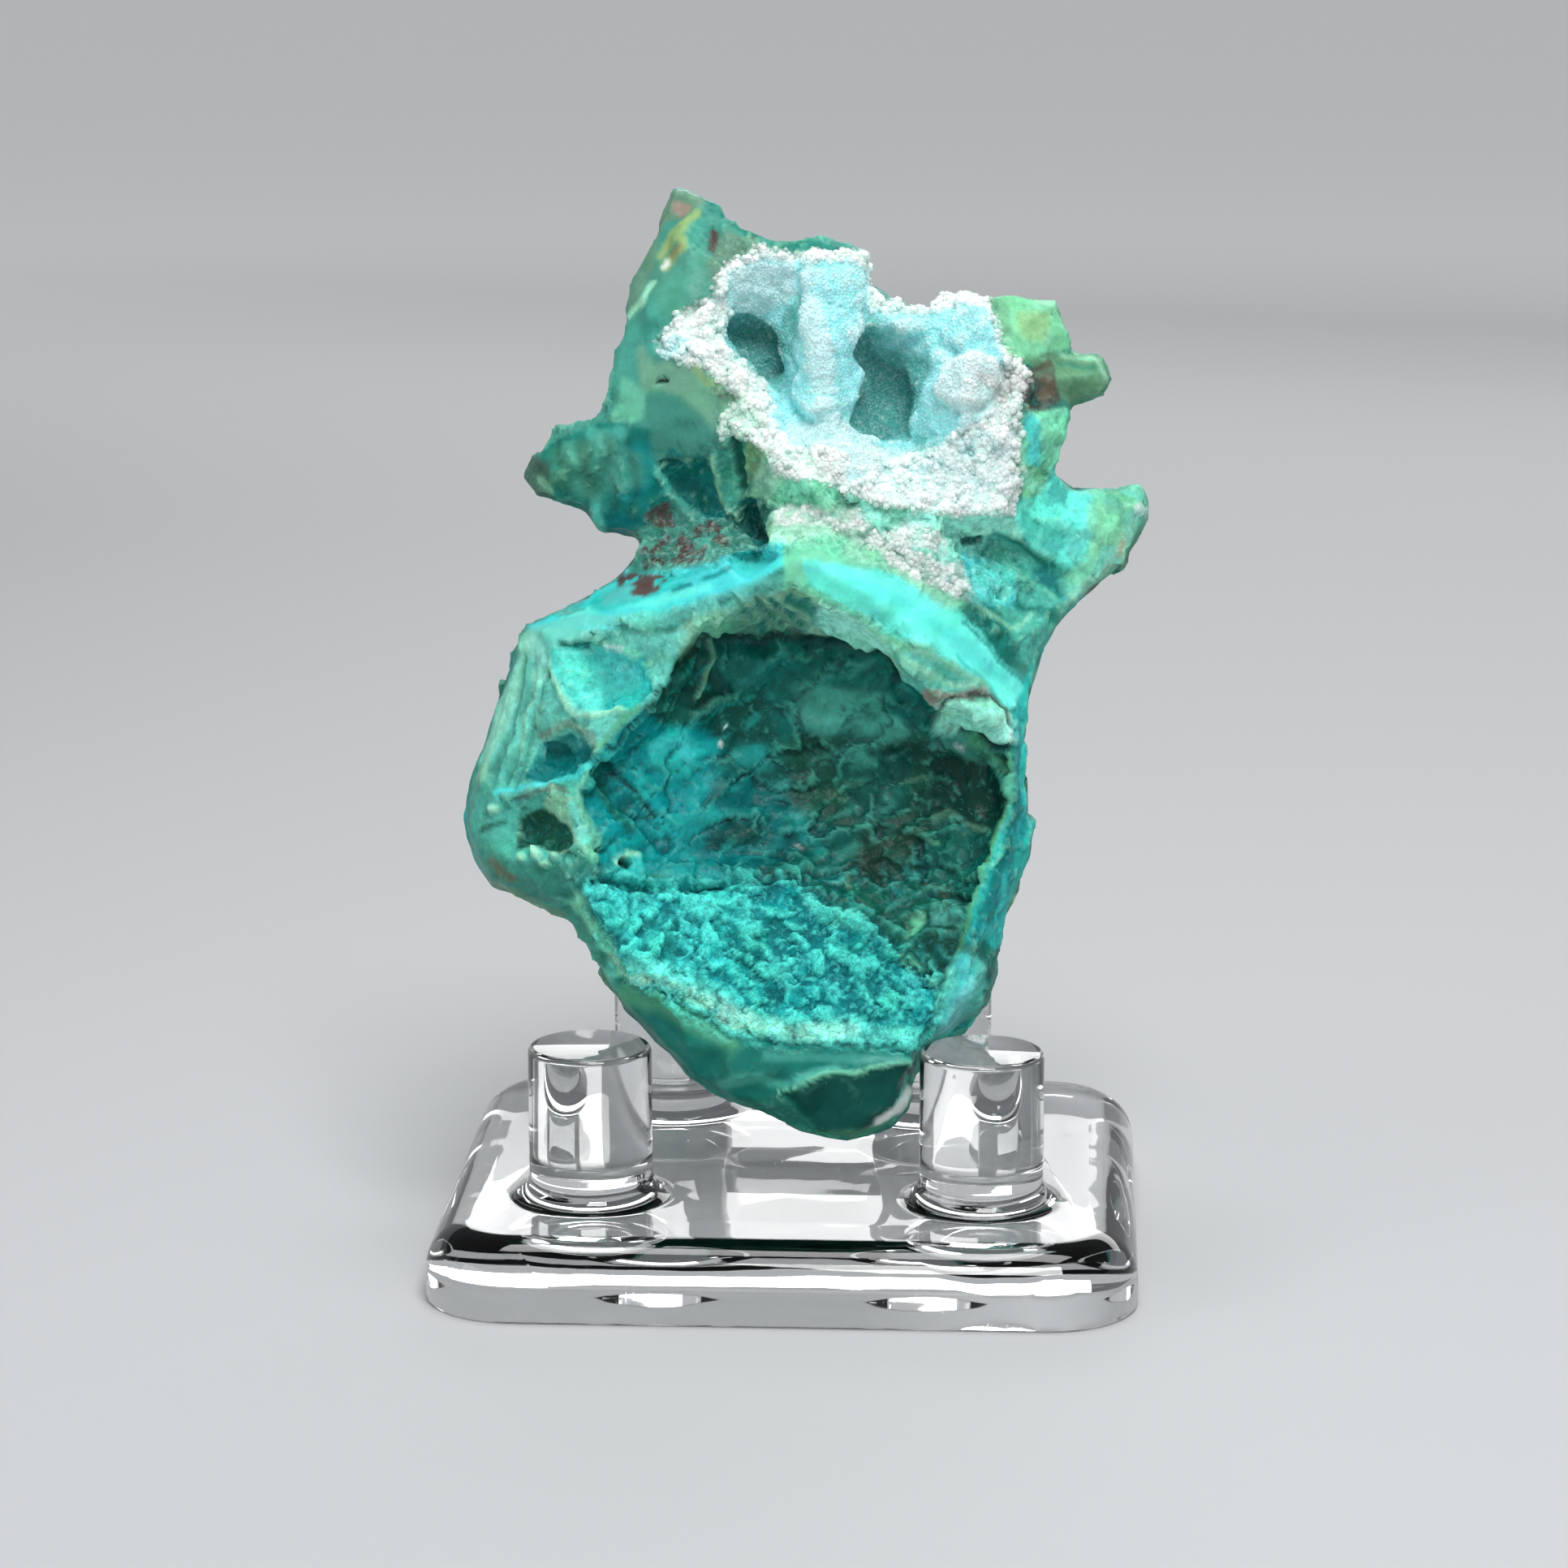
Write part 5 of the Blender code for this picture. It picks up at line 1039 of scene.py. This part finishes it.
# The druse: small six-sided quartz crystals that grew on the stone's head, each a short prism with a
# pointed cap, sunk into the crust that carries it. They let its blue-green show through, and are as
# fine as sugar on the white rim.
random = np.random.default_rng(7)
CRYSTAL_SIDES = 6
stone.data.calc_loop_triangles()
stone_faces = np.empty(len(stone.data.loop_triangles) * 3, np.int32)
stone.data.loop_triangles.foreach_get("vertices", stone_faces)
stone_faces = stone_faces.reshape(-1, 3)
stone_points = read_points(stone.data)
stone_normals = read_normals(stone.data)
print("STONE", len(stone_faces))


def scatter(mask, count, spacing):
    """Random places in mm on the stone where the mask is high, none closer than spacing."""
    sides = stone_points[stone_faces]
    area = np.linalg.norm(np.cross(sides[:, 1] - sides[:, 0], sides[:, 2] - sides[:, 0]), axis=1)
    weight = area * mask[stone_faces].mean(axis=1)
    picked = random.choice(len(stone_faces), count, p=weight / weight.sum())
    share = random.dirichlet((1, 1, 1), count)
    places = np.einsum("ij,ijk->ik", share, stone_points[stone_faces[picked]]) * 1000
    facing = np.einsum("ij,ijk->ik", share, stone_normals[stone_faces[picked]])
    colour = paint[stone_faces[picked]].mean(axis=1)
    taken = {}
    kept = []
    for index, spot in enumerate(places):
        cell = tuple(np.floor(spot / spacing).astype(int))
        around = product(*((value - 1, value, value + 1) for value in cell))
        if all(np.linalg.norm(places[other] - spot) >= spacing
               for home in around for other in taken.get(home, ())):
            taken.setdefault(cell, []).append(index)
            kept.append(index)
    return places[kept], facing[kept], colour[kept]


def grow_crystals(name, spots, width, lean, height):
    """One mesh of six-sided crystals on the stone, width mm across and leaning at random; a few of
    them are bright enough to glint."""
    places, facing, colour = spots
    count = len(places)
    print("CRYSTALS", name, count)
    axis = facing + lean * random.normal(size=(count, 3))
    axis /= np.linalg.norm(axis, axis=1)[:, None]
    side = np.cross(axis, random.normal(size=(count, 3)))
    side /= np.linalg.norm(side, axis=1)[:, None]
    other = np.cross(axis, side)
    points = []
    for along in (-0.60, -0.05):
        for step in range(CRYSTAL_SIDES):
            angle = 2 * math.pi * step / CRYSTAL_SIDES
            across = (side * math.cos(angle) + other * math.sin(angle)) * (width / 2)[:, None]
            points.append(places + axis * (along * width)[:, None] + across)
    points.append(places + axis * (height * width)[:, None])
    points = np.clip(np.stack(points, axis=1).reshape(-1, 3) / 1000, limit[0], limit[1])
    faces = [tuple(reversed(range(CRYSTAL_SIDES)))]
    for step in range(CRYSTAL_SIDES):
        following = (step + 1) % CRYSTAL_SIDES
        faces.append((step, following, following + CRYSTAL_SIDES, step + CRYSTAL_SIDES))
        faces.append((step + CRYSTAL_SIDES, following + CRYSTAL_SIDES, 2 * CRYSTAL_SIDES))
    corners = 2 * CRYSTAL_SIDES + 1
    all_faces = [tuple(corners * crystal + corner for corner in face) for crystal in range(count) for face in faces]
    data = bpy.data.meshes.new(name)
    data.from_pydata([tuple(point) for point in points], [], all_faces)
    add_field(data, "stone_colour", np.repeat(colour, corners, axis=0))
    add_field(data, "glint", np.repeat(np.where(random.random(count) < 0.12, 1.0, 0.0), corners))
    obj = bpy.data.objects.new(name, data)
    bpy.context.scene.collection.objects.link(obj)
    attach(obj, "root")
    return obj


pit_spots = scatter(np.where(in_druse > 0.5, 1.0, 0.0), 26000, 0.21)
on_white = np.where(paint.min(axis=1) > 0.62, on_waist, 0)
rim_spots = scatter(np.where(in_crust * (1 - in_druse) + on_white > 0.4, 1.0, 0.0), 14000, 0.28)
druse = grow_crystals("druse_crystals", pit_spots, random.uniform(0.24, 0.46, len(pit_spots[0])), 0.14, 0.20)
sugar = grow_crystals("rim_crystals", rim_spots, random.uniform(0.28, 0.62, len(rim_spots[0])), 0.30, 0.22)


def quartz_look(name, whiten, see_through, rough_base):
    finish, shader, w = new_finish(name)
    under = w.make("ShaderNodeAttribute", {"attribute_name": "stone_colour"})
    quartz_place = w.make("ShaderNodeTexCoord", out=3)
    quartz_mm = w.make("ShaderNodeVectorMath", {"operation": "SCALE"}, {0: quartz_place, "Scale": 1000.0})
    cloudy = w.make("ShaderNodeTexNoise", None, {"Vector": quartz_mm, "Scale": 1.1, "Detail": 4.0})
    colour = w.mix(whiten * cloudy.between(0.30, 0.70), under, (0.94, 0.965, 0.96, 1))
    w.tree.links.new(colour.socket, shader.inputs["Base Color"])
    haze = rough_base - (rough_base - 0.08) * w.make("ShaderNodeAttribute", {"attribute_name": "glint"}, out=2)
    haze = haze + 0.15 * (cloudy - 0.5)
    w.tree.links.new(haze.socket, shader.inputs["Roughness"])
    shader.inputs["IOR"].default_value = 1.545
    shader.inputs["Transmission Weight"].default_value = see_through
    shader.inputs["Subsurface Weight"].default_value = 0.4
    shader.inputs["Subsurface Radius"].default_value = (0.8, 1.0, 1.0)
    shader.inputs["Subsurface Scale"].default_value = 0.0006
    return finish


druse.data.materials.append(quartz_look("druse quartz", 0.10, 0.0, 0.48))
sugar.data.materials.append(quartz_look("sugary quartz", 0.35, 0.0, 0.50))


# The stand: one clear plastic moulding, base and four pegs together, with a fillet at each peg's
# root and a large radius along the base's top edge. Gravity alone holds the stone in it.
BASE_CORNER = 6.6
BASE_EDGE = 3.4
PEG_FILLET = 1.8
PEG_RIM = 0.45


def skin(rings):
    """A closed mesh through a stack of rings of equal length, in millimetres."""
    mesh = bmesh.new()
    loops = [[mesh.verts.new(Vector(point) / 1000) for point in ring] for ring in rings]
    for lower, upper in zip(loops, loops[1:]):
        for index in range(len(lower)):
            following = (index + 1) % len(lower)
            mesh.faces.new((lower[index], lower[following], upper[following], upper[index]))
    mesh.faces.new(reversed(loops[0]))
    mesh.faces.new(loops[-1])
    return mesh


def plan(inset, height, steps=18):
    """The base's outline with round corners, drawn in from its edge by inset."""
    ring = []
    for quarter, (side_x, side_y) in enumerate(((1, 1), (-1, 1), (-1, -1), (1, -1))):
        centre_x = side_x * (BASE[0] / 2 - BASE_CORNER)
        centre_y = side_y * (BASE[1] / 2 - BASE_CORNER)
        for step in range(steps + 1):
            angle = math.pi / 2 * (quarter + step / steps)
            radius = BASE_CORNER - inset
            ring.append((centre_x + radius * math.cos(angle), centre_y + radius * math.sin(angle), height))
    return ring


base_rings = [plan(0.12, 0.0), plan(0.0, 0.12)]
edge_steps = 12
for step in range(edge_steps + 1):
    angle = math.pi / 2 * step / edge_steps
    base_rings.append(plan(BASE_EDGE * (1 - math.cos(angle)), BASE[2] - BASE_EDGE * (1 - math.sin(angle))))
base_mesh = skin(base_rings)
stand_data = bpy.data.meshes.new("stand_moulding")
base_mesh.to_mesh(stand_data)
base_mesh.free()
stand = bpy.data.objects.new("stand_moulding", stand_data)
bpy.context.scene.collection.objects.link(stand)

peg_sides = 96
peg_profile = [(PEG_RADIUS + PEG_FILLET + 0.3, -1.0), (PEG_RADIUS + PEG_FILLET + 0.3, -0.03)]
for step in range(1, 11):
    angle = math.pi / 2 * step / 10
    peg_profile.append((PEG_RADIUS + PEG_FILLET * (1 - math.sin(angle)), PEG_FILLET * (1 - math.cos(angle))))
for x, y, rise in PEGS:
    profile = list(peg_profile)
    for step in range(5):
        angle = math.pi / 2 * step / 4
        profile.append((PEG_RADIUS - PEG_RIM * (1 - math.cos(angle)), rise - PEG_RIM * (1 - math.sin(angle))))
    rings = []
    for radius, height in profile:
        turns = [2 * math.pi * side / peg_sides for side in range(peg_sides)]
        rings.append([(x + radius * math.cos(a), y + radius * math.sin(a), BASE[2] + height) for a in turns])
    peg_mesh = skin(rings)
    peg_data = bpy.data.meshes.new("peg")
    peg_mesh.to_mesh(peg_data)
    peg_mesh.free()
    peg = bpy.data.objects.new("peg", peg_data)
    bpy.context.scene.collection.objects.link(peg)
    union = stand.modifiers.new("moulded as one", "BOOLEAN")
    union.operation = "UNION"
    union.solver = "EXACT"
    union.object = peg
    bake_modifiers(stand)
    bpy.data.objects.remove(peg, do_unlink=True)
stand.data.shade_smooth()
stand.data.set_sharp_from_angle(angle=math.radians(38))

clear_finish, clear_shader, w = new_finish("clear moulded plastic")
clear_place = w.make("ShaderNodeTexCoord", out=3)
clear_mm = w.make("ShaderNodeVectorMath", {"operation": "SCALE"}, {0: clear_place, "Scale": 1000.0})
sinks = w.make("ShaderNodeTexNoise", None, {"Vector": clear_mm, "Scale": 0.12, "Detail": 2.0})
drawn = w.make("ShaderNodeVectorMath", {"operation": "MULTIPLY"}, {0: clear_mm, 1: (6.0, 0.6, 0.6)})
scratches = w.make("ShaderNodeTexNoise", None, {"Vector": drawn, "Scale": 1.0, "Detail": 4.0})
clear_rough = 0.015 + 0.10 * scratches.between(0.60, 0.78)
w.tree.links.new(clear_rough.socket, clear_shader.inputs["Roughness"])
clear_bump = w.make("ShaderNodeBump", None, {"Strength": 0.05, "Distance": 0.0005, "Height": sinks})
w.tree.links.new(clear_bump.socket, clear_shader.inputs["Normal"])
clear_shader.inputs["Base Color"].default_value = (0.985, 0.99, 0.99, 1)
clear_shader.inputs["IOR"].default_value = 1.49
clear_shader.inputs["Transmission Weight"].default_value = 1.0
stand.data.materials.clear()
stand.data.materials.append(clear_finish)
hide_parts("stand")
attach(stand, "root")
